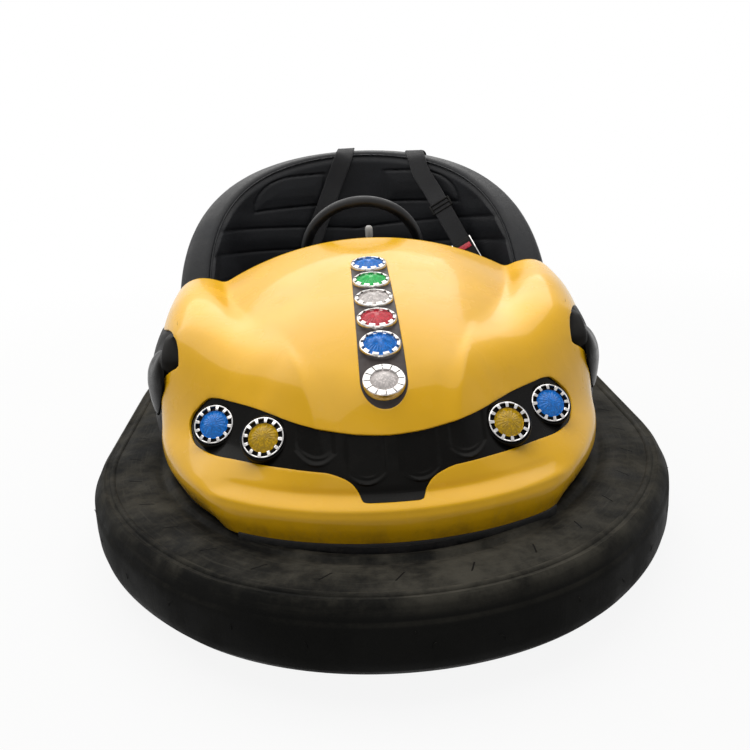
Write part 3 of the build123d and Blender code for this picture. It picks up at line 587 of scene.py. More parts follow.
def sheet_mesh(name, rows, around=False, closed=False):
    """Mesh from a grid of points; around joins the last column to the first, and closed the last row."""
    rows = np.asarray(rows, float)
    n, m = rows.shape[:2]
    index = np.arange(n * m).reshape(n, m)
    if around:
        index = np.hstack([index, index[:, :1]])
    if closed:
        index = np.vstack([index, index[:1]])
    faces = np.stack([index[:-1, :-1], index[:-1, 1:], index[1:, 1:], index[1:, :-1]], -1).reshape(-1, 4)
    mesh = bpy.data.meshes.new(name)
    mesh.from_pydata(rows.reshape(-1, 3).tolist(), [], faces.tolist())
    return new_object(name, mesh)


def tube_mesh(name, rows, closed=False):
    """Closed-section mesh of rings of points, with its doubles merged."""
    return tidy(sheet_mesh(name, rows, around=True, closed=closed), 1e-6)


def wire(name, points):
    """Mesh of a bare line through points, to be spun or drawn out."""
    mesh = bpy.data.meshes.new(name)
    mesh.from_pydata(points, [(i, i + 1) for i in range(len(points) - 1)], [])
    return new_object(name, mesh)


def lathe(name, profile, steps=48, turn=tau, matrix=None):
    """Mesh of a profile of (radius, height) points spun about Z, then moved by a matrix."""
    obj = wire(name, [(r, 0.0, z) for r, z in profile])
    with edit_mode(obj):
        bpy.ops.mesh.spin(steps=steps, angle=turn, center=(0, 0, 0), axis=(0, 0, 1))
    tidy(obj)
    if matrix is not None:
        obj.data.transform(matrix)
    return obj


def tube(name, points, radius, sides=12, cyclic=False):
    """Round bar along a smooth line through control points."""
    curve = bpy.data.curves.new(name, "CURVE")
    curve.dimensions = "3D"
    curve.bevel_depth = radius
    curve.bevel_resolution = max(1, sides // 4 - 1)
    curve.use_fill_caps = True
    curve.resolution_u = 8
    spline = curve.splines.new("NURBS")
    spline.points.add(len(points) - 1)
    for point, place in zip(spline.points, points):
        point.co = (*place, 1.0)
    spline.order_u = 3
    spline.use_cyclic_u = cyclic
    spline.use_endpoint_u = not cyclic
    pick(new_object(name, curve))
    bpy.ops.object.convert(target="MESH")
    return bpy.context.view_layer.objects.active


def flow(knots, values, at):
    """Values on smooth, never overshooting curves through rows of values at rising knots."""
    knots, values = np.asarray(knots, float), np.asarray(values, float)
    flat = values.reshape(len(knots), -1)
    steps = np.diff(knots)[:, None]
    rates = np.diff(flat, axis=0) / steps
    slopes = np.empty_like(flat)
    slopes[0], slopes[-1] = rates[0], rates[-1]
    w1, w2 = 2 * steps[1:] + steps[:-1], steps[1:] + 2 * steps[:-1]
    same = rates[:-1] * rates[1:] > 0
    safe = np.where(same, rates[:-1], 1.0), np.where(same, rates[1:], 1.0)
    slopes[1:-1] = np.where(same, (w1 + w2) / (w1 / safe[0] + w2 / safe[1]), 0.0)
    at = np.clip(np.asarray(at, float), knots[0], knots[-1])
    k = np.clip(np.searchsorted(knots, at, side="right") - 1, 0, len(knots) - 2)
    h = np.diff(knots)[k][..., None]
    t = ((at - knots[k])[..., None]) / h
    a, b, da, db = flat[k], flat[k + 1], slopes[k] * h, slopes[k + 1] * h
    result = (a * (1 + 2 * t) + da * t) * (1 - t) ** 2 + (b * (3 - 2 * t) + db * (t - 1)) * t * t
    return result.reshape(at.shape + values.shape[1:])


def soften(table, axis, times, mirror_start=False):
    """A table averaged with its neighbours along an axis."""
    table = np.moveaxis(np.array(table, float), axis, 0)
    for _ in range(times):
        before = table[1:2] if mirror_start else 2 * table[:1] - table[1:2]
        padded = np.concatenate([before, table, 2 * table[-1:] - table[-2:-1]])
        table = (padded[:-2] + 2 * padded[1:-1] + padded[2:]) / 4
    return np.moveaxis(table, 0, axis)


def outline_distance(points, outline):
    """Signed distance of 2-D points to a closed outline, negative inside."""
    points, outline = np.asarray(points, float), np.asarray(outline, float)
    nearest = np.full(len(points), 1e9)
    inside = np.zeros(len(points), bool)
    for a, b in zip(outline, np.roll(outline, -1, 0)):
        d = b - a
        t = np.clip(((points - a) @ d) / max(d @ d, 1e-12), 0, 1)
        nearest = np.minimum(nearest, np.hypot(*(points - a - t[:, None] * d).T))
        crosses = (a[1] > points[:, 1]) != (b[1] > points[:, 1])
        with np.errstate(divide="ignore", invalid="ignore"):
            at = a[0] + (points[:, 1] - a[1]) * d[0] / d[1]
        inside ^= crosses & (points[:, 0] < at)
    return np.where(inside, -nearest, nearest)


def trim(obj, distance, keep_inside=False):
    """Moves the vertices nearest to a line onto it, and deletes the faces on one side.

    distance gives each vertex a value that is 0 on the line and negative inside it.
    """
    way = -1 if keep_inside else 1
    bm = bmesh.new()
    bm.from_mesh(obj.data)
    bm.verts.ensure_lookup_table()
    value = way * np.asarray(distance(np.array([v.co for v in bm.verts])), float)
    value[np.abs(value) < 1e-6] = 0.0
    best = {}
    for edge in bm.edges:
        a, b = edge.verts[0].index, edge.verts[1].index
        if value[a] * value[b] < 0:
            t = value[a] / (value[a] - value[b])
            near, share = (a, t) if t <= 0.5 else (b, 1 - t)
            reach = share * edge.calc_length()
            if near not in best or reach < best[near][0]:
                best[near] = (reach, edge.verts[0].co.lerp(edge.verts[1].co, t))
    for index, (_, spot) in best.items():
        bm.verts[index].co = spot
        value[index] = 0.0
    for face in list(bm.faces):
        marks = [value[v.index] for v in face.verts]
        if min(marks) < 0 < max(marks) and len(marks) == 4:
            on_line = [v for v in face.verts if value[v.index] == 0.0]
            if len(on_line) == 2:
                bmesh.utils.face_split(face, on_line[0], on_line[1])

    def is_gone(face):
        marks = [value[v.index] for v in face.verts]
        if any(marks):
            return sum(marks) < 0
        return way * float(distance(np.array([face.calc_center_median()]))[0]) < 0

    bmesh.ops.delete(bm, geom=[face for face in bm.faces if is_gone(face)], context="FACES")
    bmesh.ops.delete(bm, geom=[v for v in bm.verts if not v.link_faces], context="VERTS")
    bm.to_mesh(obj.data)
    bm.free()
    return obj


def bevel(obj, width, segments=2, angle=30, **settings):
    """Rounds the edges that turn by more than an angle in degrees."""
    limits = {"limit_method": "ANGLE", "angle_limit": radians(angle)}
    return modify(obj, "BEVEL", width=width, segments=segments, **limits, **settings)


def thicken(obj, wall, lip=0.0):
    """Gives a skin its wall, inwards, and rounds the wall's edges."""
    modify(obj, "SOLIDIFY", thickness=wall, offset=-1.0, use_even_offset=False)
    if lip:
        bevel(obj, lip, 2, 50, use_clamp_overlap=False)
    return obj


# ---- the ring

def ring_section(s):
    """Closed profile of the ring from the inner foot: (distance in from the outer edge, height)."""
    w, top, low = s.width, s.top, s.low
    # in from the outer edge, or out from the inner one, and down from the top, or up from the underside
    inner_top = mm(
        (0, 30), (0, 6), (3, 1.5), (8, 0), (14, 0), (19, 1), (23.5, 6.5), (29, 7.5), (36, 4.5), (52, 2.2),
        (75, 1.8), (96, 3.2), (112, 6.2),
    )
    outer_top = mm(
        (45, 7.8), (42.5, 5.2), (39, 4.4), (35, 5.2), (32.5, 8.5), (26.5, 8.5), (22.5, 6.2), (18, 9.5),
        (12.5, 16.5), (7.5, 26.5), (4.5, 33.5), (4.2, 36.5), (0.6, 40), (0, 52),
    )
    outer_foot = mm((0, 52), (1.5, 30), (6, 14), (20, 0))
    section = [(w - 0.016, low), (w, low + 0.012)]
    section += [(w - out, top - down) for out, down in inner_top]
    section += [(inset, top - down) for inset, down in outer_top]
    section += [(inset, low + up) for inset, up in outer_foot]
    return section + section[:1]


class RingOperator(bpy.types.Operator):
    """Rubber ring: the section is spun round the nose and the side, drawn along the straight, and mirrored"""

    bl_idname = "bumper_car.ring"
    bl_label = "Rubber ring"

    def execute(self, context):
        s = context.scene.car_ring
        plan = RingPlan(s)
        front = plan.nose_y - s.nose_radius
        ring = wire("ring_tyre", [(0.0, front + inset, z) for inset, z in ring_section(s)])
        pulls = 6
        with edit_mode(ring):
            nose, side = (0, plan.nose_y, 0), (plan.side_x, -s.straight, 0)
            bpy.ops.mesh.spin(steps=34, angle=pi / 2 - plan.turn, center=nose, axis=(0, 0, -1))
            bpy.ops.mesh.spin(steps=42, angle=plan.turn, center=side, axis=(0, 0, -1))
            for _ in range(pulls):
                pull = {"value": (0, s.straight / pulls, 0)}
                bpy.ops.mesh.extrude_region_move(TRANSFORM_OT_translate=pull)
        modify(ring, "MIRROR", use_axis=(True, True, False), use_clip=True, merge_threshold=1e-4)
        tidy(ring, 1e-4)
        plan.write_coordinates(ring)
        dress(ring, "ring_rubber", replaces=["bumper_tyre"], smooth=46)
        dress(vent_hairs(plan), "ring_rubber", smooth=60)
        return {"FINISHED"}


class RingPlan:
    """Plan of the ring's outer edge: a half straight, an arc along the side and an arc round the nose."""

    def __init__(self, sizes):
        self.sizes = sizes
        self.nose_y = sizes.nose_radius - sizes.half_length
        self.side_x = sizes.half_width - sizes.side_radius
        self.turn = -atan2(self.nose_y + sizes.straight, -self.side_x)
        self.side_length = sizes.straight + self.turn * sizes.side_radius
        self.quarter = self.side_length + (pi / 2 - self.turn) * sizes.nose_radius

    def place(self, along, inset):
        """Point at a distance from the middle of the +X side towards the nose, and in from the edge."""
        s = self.sizes
        if along < s.straight:
            return s.half_width - inset, -along
        a = (along - s.straight) / s.side_radius
        if a < self.turn:
            reach = s.side_radius - inset
            return self.side_x + reach * cos(a), -s.straight - reach * sin(a)
        a = self.turn + (along - self.side_length) / s.nose_radius
        reach = s.nose_radius - inset
        return reach * cos(a), self.nose_y - reach * sin(a)

    def find(self, x, y):
        """How far along the edge and in from it a point of the quarter at +X, -Y lies."""
        s = self.sizes
        side_angle = atan2(-(y + s.straight), x - self.side_x)
        if y > -s.straight:
            return -y, s.half_width - x
        if side_angle < self.turn:
            inset = s.side_radius - hypot(x - self.side_x, y + s.straight)
            return s.straight + side_angle * s.side_radius, inset
        nose_angle = atan2(-(y - self.nose_y), x)
        inset = s.nose_radius - hypot(x, y - self.nose_y)
        return self.side_length + (nose_angle - self.turn) * s.nose_radius, inset

    def write_coordinates(self, ring):
        """Stores how far along the ring and how far in from its edge each vertex lies."""
        along, across = [], []
        for v in ring.data.vertices:
            reach, inset = self.find(abs(v.co.x), -abs(v.co.y))
            if v.co.x < 0:
                reach = 2 * self.quarter - reach
            along.append(reach if v.co.y < 0 else -reach)
            across.append(inset)
        for name, values in (("along", along), ("across", across)):
            ring.data.attributes.new(name, "FLOAT", "POINT").data.foreach_set("value", values)


def vent_hairs(plan):
    """The few thin moulding hairs that stand on the ring's outer wall."""
    rng = np.random.default_rng(4)
    hairs = []
    for along in np.linspace(0.12, 1.3, 9):
        for side in (-1, 1):
            spot = along + rng.uniform(-0.03, 0.03)
            foot = rng.uniform(0.085, 0.125)
            swing = rng.uniform(-0.012, 0.012)
            points = []
            for share in (0.0, 0.35, 0.7, 1.0):
                x, y = plan.place(spot + swing * share**2, -0.0004 - 0.0016 * share)
                points.append((side * x, y, foot + 0.02 * share * (1 - 0.45 * share)))
            hairs.append(tube("hair", points, 0.0005, sides=4))
    return join("ring_hairs", hairs)


# ---- the nose

FAN_Y = -0.33
WALL_ANGLES = (0, 20, 38, 43, 47, 56, 65, 75, 83, 90)
# Walls of the nose: height, distances from the point (0, FAN_Y) at those angles from straight ahead,
# and half the width at the cockpit. Millimetres.
NOSE_WALLS = (
    (182, (464, 463, 461, 434, 428, 420, 414, 412, 413, 414), 426),
    (200, (469, 468, 466, 450, 441, 431, 425, 422, 423, 424), 433),
    (218, (472, 471, 470, 461, 452, 441, 434, 431, 432, 433), 440),
    (234, (471, 471, 469, 464, 457, 447, 440, 437, 438, 439), 445),
    (247, (463, 463, 461, 460, 456, 446, 439, 438, 440, 441), 448),
    (256, (447, 447, 446, 449, 449, 442, 437, 437, 440, 442), 450),
    (266, (434, 433, 432, 436, 438, 433, 431, 434, 438, 442), 452),
    (280, (427, 424, 414, 414, 418, 416, 417, 424, 434, 442), 453),
    (300, (418, 410, 391, 386, 386, 388, 396, 410, 428, 442), 454),
    (345, (392, 382, 357, 353, 353, 358, 370, 392, 416, 440), 456),
    (400, (374, 362, 333, 327, 329, 338, 352, 376, 404, 436), 456),
    (620, (352, 340, 310, 304, 306, 314, 328, 350, 380, 414), 434),
)
# Sections across the hood: y, valley (x, z), crown z, fender crest (x, z), and z at HOOD_EDGE. Millimetres.
HOOD_EDGE = 475
HOOD_ROWS = (
    (-830, 110, 288, 296, 240, 282, 264),
    (-720, 140, 352, 372, 260, 325, 268),
    (-600, 180, 412, 450, 300, 370, 285),
    (-450, 225, 445, 502, 345, 430, 345),
    (-300, 268, 466, 534, 376, 478, 415),
    (-150, 303, 482, 562, 392, 502, 450),
    (0, 325, 492, 578, 396, 506, 462),
)
# Front view of the mask's edge (x, z), from the middle of its top to the middle of its foot. Millimetres.
MASK_EDGE = (
    (0, 348), (55, 350), (145, 360), (205, 366), (255, 368.5), (296, 369), (318, 366.5), (333, 357),
    (346, 344), (360, 327), (366, 310), (360, 296.5), (345, 289.5), (320, 288.5), (266, 291), (214, 294),
    (166, 296), (113, 295.5), (83, 289), (65, 279), (55.5, 265), (51, 257.5), (47.5, 255.5), (0, 255.5),
)


def circle_through(p, q, r):
    """Centre and radius of the circles through rows of three points."""
    (x1, y1), (x2, y2), (x3, y3) = p, q, r
    d = 2 * (x1 * (y2 - y3) + x2 * (y3 - y1) + x3 * (y1 - y2))
    s1, s2, s3 = x1**2 + y1**2, x2**2 + y2**2, x3**2 + y3**2
    cx = (s1 * (y2 - y3) + s2 * (y3 - y1) + s3 * (y1 - y2)) / d
    cy = (s1 * (x3 - x2) + s2 * (x1 - x3) + s3 * (x2 - x1)) / d
    return cx, cy, np.hypot(x1 - cx, y1 - cy)


def arc_points(start, middle, end, count):
    """Points along the arc through three points."""
    cx, cy, radius = circle_through(start, middle, end)
    a, b, c = (atan2(y - cy, x - cx) for x, y in (start, middle, end))
    sweep = (c - a) % tau
    if (b - a) % tau > sweep:
        sweep -= tau
    turns = a + sweep * np.linspace(0, 1, count)
    return [(cx + radius * cos(turn), cy + radius * sin(turn)) for turn in turns]


def mask_outline():
    """Closed front-view outline (x, z) of the headlamp mask."""
    edge = np.array(MASK_EDGE) / 1000
    run = run_length(edge)
    right = flow(run, edge, np.linspace(0, run[-1], 200))
    return np.concatenate([right, (right * (-1, 1))[::-1][1:-1]])


def smooth_max(a, b, width):
    """The greater of two fields, blended where they are within width of each other."""
    return np.maximum(a, b) + np.maximum(width - np.abs(a - b), 0) ** 2 / (4 * width)


def bell(offset, width):
    """A rounded bump of height 1 where the offset is 0."""
    return np.exp(-((offset / width) ** 2))


# The chin's moulded ridge and the groove over it, which end beside the headlamps: angle from straight
# ahead in degrees, and the height, width and depth of each.
CHIN_RIDGE_END, CHIN_RIDGE_FADE = 43, 3.5
CHIN_BEAD, CHIN_GROOVE = (0.2495, 0.0055, 0.0048), (0.2615, 0.0065, 0.0044)
# Step between the levels in the nose's table of walls, and the longest ray inside the nose.
NOSE_LEVEL_STEP, NOSE_REACH = 0.002, 0.62


class NoseForm:
    """The outer surface of the nose as a field: negative inside, zero on the skin."""

    def __init__(self, rounding):
        self.rounding = rounding
        heights, radii, halves = (np.array([row[i] for row in NOSE_WALLS]) / 1000 for i in range(3))
        angles = np.arange(0, 90.5, 1.0)
        fine = soften(flow(WALL_ANGLES, radii.T, angles), 0, 14, mirror_start=True)
        self.heights = np.arange(heights[0], heights[-1], NOSE_LEVEL_STEP)
        self.radii = soften(flow(heights, fine.T, self.heights).T, 1, 5)
        share = np.clip((CHIN_RIDGE_END - angles) / CHIN_RIDGE_FADE, 0, 1)[:, None]
        bead, groove = (size * bell(self.heights - z, width) for z, width, size in (CHIN_BEAD, CHIN_GROOVE))
        self.radii = self.radii + share * (bead - groove)
        self.halves = soften(flow(heights, halves, self.heights), 0, 5)
        rows = np.array(HOOD_ROWS, float) / 1000
        self.along = np.arange(rows[0, 0], 0.001, 0.005)
        self.hood = soften(flow(rows[:, 0], rows[:, 1:], self.along), 0, 40)

    def wall(self, x, y, z):
        """Distance outside the walls, level."""
        k = np.clip((z - self.heights[0]) / NOSE_LEVEL_STEP, 0, len(self.heights) - 1.001)
        row, share = k.astype(int), k - k.astype(int)

        def at_level(table):
            return table[row] * (1 - share) + table[row + 1] * share

        def at_angle(i):
            return self.radii[i, row] * (1 - share) + self.radii[i, row + 1] * share

        half = at_level(self.halves)
        side = np.abs(x) - (half + (at_angle(-1) - half) * np.clip(y / FAN_Y, 0, 1) ** 2)
        angle = np.clip(np.degrees(np.arctan2(np.abs(x), FAN_Y - y)), 0, 89.999)
        i = angle.astype(int)
        turn = angle - i
        nose = np.hypot(x, y - FAN_Y) - (at_angle(i) * (1 - turn) + at_angle(i + 1) * turn)
        return np.where(y < FAN_Y, nose, side)

    def roof(self, x, y):
        """Height of the hood: a crown between two valleys, with the fenders' humps outside them."""
        columns = (np.interp(y, self.along, self.hood[:, i]) for i in range(6))
        valley_x, valley_z, crown, crest_x, crest_z, outer = columns
        x = np.abs(x)
        drop = crown - valley_z
        radius = (valley_x**2 + drop**2) / (2 * drop)
        middle = crown - radius + np.sqrt(np.maximum(radius**2 - x**2, 0))
        edge = (HOOD_EDGE / 1000 + 0 * x, outer)
        cx, cy, r = circle_through((valley_x, valley_z), (crest_x, crest_z), edge)
        hump = cy + np.sqrt(np.maximum(r**2 - (x - cx) ** 2, 0))
        past_arc, past_valley = np.maximum(np.abs(x - cx) - r, 0), np.maximum(0.8 * valley_x - x, 0)
        fender = hump - past_arc * 2 - past_valley * 1.6
        groove = np.interp(y, (-0.72, -0.5, -0.25, 0), (0.07, 0.045, 0.02, 0.012))
        return smooth_max(middle, fender, groove)

    def field(self, x, y, z):
        return smooth_max(self.wall(x, y, z), z - self.roof(x, y), self.rounding)

    def reach(self, origin, ray):
        """Distances from points inside the nose, along rays, to the skin."""
        near, far = np.zeros(origin.shape[:-1]), np.full(origin.shape[:-1], NOSE_REACH)
        for _ in range(24):
            middle = (near + far) / 2
            spot = origin + ray * middle[..., None]
            out = self.field(spot[..., 0], spot[..., 1], spot[..., 2]) > 0
            near, far = np.where(out, near, middle), np.where(out, middle, far)
        return (near + far) / 2


# Where the nose's upright sections turn over into its fan, and the places that they are seen from.
NOSE_BASE, NOSE_BACK, NOSE_FRONT = 0.3, -0.25, -0.66


def nose_rows(form, low, columns=150, count=112):
    """Half of the nose's skin: upright sections from the cockpit edge round to the middle of the nose."""
    level_count, tilt_count = 90, 400
    straight = int(columns * 0.22)
    fanned = columns - straight + 1
    y = np.concatenate([np.linspace(0, NOSE_BACK, straight), np.linspace(NOSE_BACK, NOSE_FRONT, fanned)[1:]])
    turns = np.concatenate([np.full(straight, pi / 2), np.linspace(pi / 2, 0, fanned)[1:]])[:, None]
    levels = np.linspace(low, NOSE_BASE, level_count, endpoint=False)
    tilts = np.concatenate([np.zeros(level_count), np.linspace(0, pi / 2, tilt_count)])
    origin = np.zeros((columns, len(tilts), 3))
    origin[..., 1] = y[:, None]
    origin[..., 2] = np.concatenate([levels, np.full(tilt_count, NOSE_BASE)])
    level = np.cos(tilts)
    ray = np.stack([np.sin(turns) * level, -np.cos(turns) * level, 0 * turns + np.sin(tilts)], -1)
    points = origin + ray * form.reach(origin, ray)[..., None]
    rows = []
    for line in points:
        gaps = np.linalg.norm(np.diff(line, axis=0), axis=1)
        closer_by_the_chin = np.where(line[1:, 2] < 0.29, 1.7, 1.0)
        mark = np.concatenate([[0], np.cumsum(gaps * closer_by_the_chin)])
        rows.append(resample(line, mark, np.linspace(0, mark[-1], count)))
    return rows


STRIP_BACK, STRIP_FRONT, STRIP_HALF = -0.184, -0.682, 0.0415


def strip_outline(margin=0.0):
    """Plan outline of the lamp strip: narrower and rounded at the back, round at the front."""
    half, slim, round_by = STRIP_HALF + margin, STRIP_HALF - 0.004 + margin, 0.022
    middle = STRIP_FRONT - margin + half
    nose = [(half * cos(a), middle - half * sin(a)) for a in np.linspace(0, pi, 33)]
    back = STRIP_BACK + margin
    turns = np.linspace(0, pi / 2, 8)
    left = [(-slim + round_by * (1 - cos(a)), back - round_by * (1 - sin(a))) for a in turns]
    return np.array(nose + both_sides(left))


def flank_outline():
    """Side view (y, z) of what is cut from the nose's flanks: the scoop and the side panels' space."""
    return np.array(
        mm(
            (-362, 100), (-352, 200), (-345, 270), (-341, 330), (-346, 358), (-358, 378), (-373, 391),
            (-388, 401.5), (-379, 417), (-362, 434), (-343, 446.5), (-325, 452), (-300, 453.5),
            (-270, 451.5), (-210, 438), (-120, 430), (20, 428), (20, 100),
        )
    )


class NoseOperator(bpy.types.Operator):
    """Yellow nose shell, cut for the mask, the lamp strip and the scoops, with its wall thickness"""

    bl_idname = "bumper_car.nose"
    bl_label = "Nose shell"

    def execute(self, context):
        s = context.scene.car_shell
        shell = tidy(sheet_mesh("nose_shell", mirrored_rows(nose_rows(NoseForm(s.rounding), s.low))), 2e-5)
        face_towards(shell, (1, 0, 0))
        cuts = (
            # outline, the two axes it is drawn on, and the part of the shell that it reaches
            (mask_outline(), (0, 2), lambda co: co[:, 1] < -0.4),
            (strip_outline(), (0, 1), lambda co: co[:, 2] > 0.38),
            (flank_outline(), (1, 2), lambda co: np.abs(co[:, 0]) > 0.33),
        )
        for outline, axes, reached in cuts:
            trim(shell, lambda co: np.where(reached(co), outline_distance(co[:, axes], outline), 1.0))
        dress(thicken(shell, s.wall, s.lip), "body_yellow", replaces=["front_shell"], smooth=40)
        return {"FINISHED"}


def skin_at(form, azimuth, z):
    """Level rays from the fan's centre to the skin, at degrees from straight ahead and at heights."""
    angle = np.radians(azimuth)
    origin = np.zeros((*np.broadcast(angle, z).shape, 3))
    origin[..., 1], origin[..., 2] = FAN_Y, z
    ray = np.stack([np.sin(angle) + 0 * z, -np.cos(angle) + 0 * z, 0 * angle + 0 * z], -1)
    return origin, ray, form.reach(origin, ray)


# Moulded cells between the headlamps: middle x, height of the lip's lowest point.
MASK_CELLS = ((-0.127, 0.3105), (-0.0415, 0.285), (0.0515, 0.286), (0.1385, 0.3075))
HEADLAMPS = (
    # colour, x, y, z, yaw, pitch
    ("yellow", 0.2135, -0.647, 0.334, 11, 38),
    ("blue", 0.309, -0.5435, 0.3295, 15, 38),
)
TAIL_LAMPS = (
    ("red", 0.230, 0.709, 0.330, 34, 10),
    ("clear", 0.325, 0.614, 0.330, 53, 9),
)
HOOD_LAMPS = (
    # colour, y, z, slope
    ("blue", -0.216, 0.551, 11),
    ("green", -0.305, 0.533, 12),
    ("clear", -0.394, 0.514, 13),
    ("red", -0.481, 0.494, 15),
    ("blue", -0.566, 0.466, 23),
    ("clear", -0.648, 0.4226, 31),
)


def axes_at(place, x, y, z):
    """Matrix of a place with its three axes."""
    return Matrix.Translation(place) @ Matrix((x, y, z)).transposed().to_4x4()


def upright_at(place, out):
    """Matrix of a place, with Z along a direction and X level."""
    out = Vector(out)
    across = Vector((-out.y, out.x, 0)).normalized()
    return axes_at(place, across, out.cross(across), out)


def hood_lamp_matrix(y, z, slope):
    """Place of a hood lamp, Z along its axis."""
    return shift(0, y, z) @ rotation(radians(slope), "X")


def wall_lamps(lamps, way):
    """Colour and place, Z along its axis, of each head or tail lamp on both sides; way is -1 at the nose."""
    found = []
    for tint, x, y, z, yaw, pitch in lamps:
        yaw, pitch = radians(yaw), radians(pitch)
        for side in (-1, 1):
            out = (side * sin(yaw) * cos(pitch), way * cos(yaw) * cos(pitch), sin(pitch))
            found.append((tint, upright_at((side * x, y, z), out)))
    return found


# The mask is set back from the nose's skin, and its cells go deeper, with a bead along each lip.
MASK_SETBACK, CELL_DEPTH, CELL_HALF, CELL_HEIGHT = 0.0055, 0.0028, 0.033, 0.062


class MaskOperator(bpy.types.Operator):
    """Black headlamp mask set back in its opening, with moulded cells and a cup round each lamp"""

    bl_idname = "bumper_car.mask"
    bl_label = "Headlamp mask"

    def execute(self, context):
        mask = self.panel(NoseForm(context.scene.car_shell.rounding))
        dress(mask, "gloss_black", replaces=["headlamp_mask"], smooth=50)
        r = context.scene.car_lamps.bezel_radius
        profile = [
            (0.02, 0.001), (r - 0.0006, 0.001), (r + 0.0002, 0.0005), (r + 0.0012, 0.0018),
            (r + 0.003, 0.0018), (r + 0.0044, 0.0), (r + 0.0052, -0.003), (r + 0.0058, -0.03),
        ]
        cups = [lathe("cup", profile, 56, matrix=place) for _, place in wall_lamps(HEADLAMPS, -1)]
        dress(join("headlamp_cups", cups), "gloss_black", smooth=50)
        return {"FINISHED"}

    def panel(self, form):
        """The mask's panel, cut to its outline and given its wall."""
        azimuth = np.linspace(-79, 79, 330)[:, None]
        height = np.linspace(0.238, 0.405, 130)[None, :]
        origin, ray, reach = skin_at(form, azimuth, height)
        x = np.sin(np.radians(azimuth)) * reach
        depth = np.full(reach.shape, MASK_SETBACK)
        for middle, lip in MASK_CELLS:
            across = (x - middle) / 0.036
            floor = lip - 0.004 + 0.016 * across**2
            outside = np.maximum(np.abs(x - middle) - CELL_HALF, floor - height)
            outside = np.maximum(outside, height - (lip + CELL_HEIGHT))
            depth += CELL_DEPTH * np.clip(0.5 - outside / 0.006, 0, 1) ** 1.5
            for raise_by, size in ((-0.003, 0.0034), (0.0048, 0.002)):
                line = bell(height - floor - raise_by, 0.0024)
                depth -= size * line * np.clip(1.5 - np.abs(across) * 1.45, 0, 1)
        mask = sheet_mesh("headlamp_mask_panel", origin + ray * (reach - depth)[..., None])
        face_towards(mask, (0, -1, 0))
        outline = mask_outline()
        trim(mask, lambda co: outline_distance(co[:, (0, 2)], outline) - 0.007, keep_inside=True)
        return thicken(mask, 0.003)


class StripOperator(bpy.types.Operator):
    """Dark strip let into the hood under the row of lamps"""

    bl_idname = "bumper_car.strip"
    bl_label = "Lamp strip"

    def execute(self, context):
        form = NoseForm(context.scene.car_shell.rounding)
        margin, set_in, gap = (0.01, 0.008), 0.0016, 0.004
        y = np.linspace(STRIP_FRONT - margin[0], STRIP_BACK + margin[0], 130)[:, None]
        x = np.linspace(-STRIP_HALF - margin[1], STRIP_HALF + margin[1], 25)[None, :]
        origin = np.stack(np.broadcast_arrays(x, y, NOSE_BASE), -1)
        ray = np.zeros_like(origin) + (0, 0, 1.0)
        reach = form.reach(origin, ray)
        strip = sheet_mesh("lamp_strip_panel", origin + ray * (reach - set_in)[..., None])
        face_towards(strip, (0, 0, 1))
        outline = strip_outline(gap)
        trim(strip, lambda co: outline_distance(co[:, :2], outline), keep_inside=True)
        dress(thicken(strip, 0.003), "satin_black", replaces=["lamp_strip"], smooth=50, skin="strip_satin")
        return {"FINISHED"}


# Sizes of the coloured lens as a share of the hood lamps' lens: in the head and tail lamps, and in front.
HEAD_LENS, FRONT_LENS = 0.91, 0.83


def toothed_bezel(s, teeth, share, inner, rise, opening=None):
    """Bright ring with a crown of rounded teeth, each filling a share of its pitch, on its lamp's plane."""
    r, p = s.bezel_radius, s.proud
    opening = opening or s.lens_radius + 0.004
    base = lathe(
        "bezel",
        [
            (opening, -0.014), (opening, p - 0.0035), (r - 0.0034, p - 0.003), (r - 0.0028, p - 0.0006),
            (r - 0.0016, p), (r - 0.0006, p - 0.0006), (r - 0.0003, p - 0.0022), (r, p - 0.0032), (r, -0.014),
        ],
        60,
    )
    outer = r - 0.0012
    profile = [
        (inner, p - 0.004), (inner + 0.0002, p - 0.0012 + rise), (inner + 0.0012, p + rise),
        (outer - 0.0022, p + rise * 0.7), (outer - 0.0006, p + rise * 0.35), (outer, p - 0.0015),
    ]
    tooth = thicken(lathe("tooth", profile, 5, tau / teeth * share), 0.0022)
    bevel(tooth, 0.0007, 2, 40)
    crown = [copy_of(tooth, rotation(tau / teeth * i, "Z")) for i in range(1, teeth)]
    return join("bezel", [base, tooth] + crown)


def fluted_lens(s, flutes, depth, skirt, size=1.0):
    """Domed lens with radial flutes round a button and a flat skirt under the teeth."""
    lens, top, dome = s.lens_radius * size - 0.0008, s.proud - 0.0035, s.dome
    spokes, rings = flutes * 4, 13
    button = 0.14
    turns = [tau * j / spokes for j in range(spokes)]
    rows = [[(0, 0, top + dome * 0.97)] * spokes]
    for i in range(1, rings + 1):
        share = i / rings
        row = []
        for j, a in enumerate(turns):
            ridge = 1 - abs((j / 4) % 1 * 2 - 1)
            cut = depth * (1 - ridge) * min(1.0, max(0.0, (share - button) * 9)) * (0.35 + 0.65 * share)
            height = top + dome * (1 - share**2.2) - cut
            row.append((lens * share * cos(a), lens * share * sin(a), height))
        rows.append(row)
    for radius, height in ((lens + 0.0016, top + 0.0004), (skirt, top + 0.0002), (skirt, -0.012)):
        rows.append([(radius * cos(a), radius * sin(a), height) for a in turns])
    return tube_mesh("lens", rows)


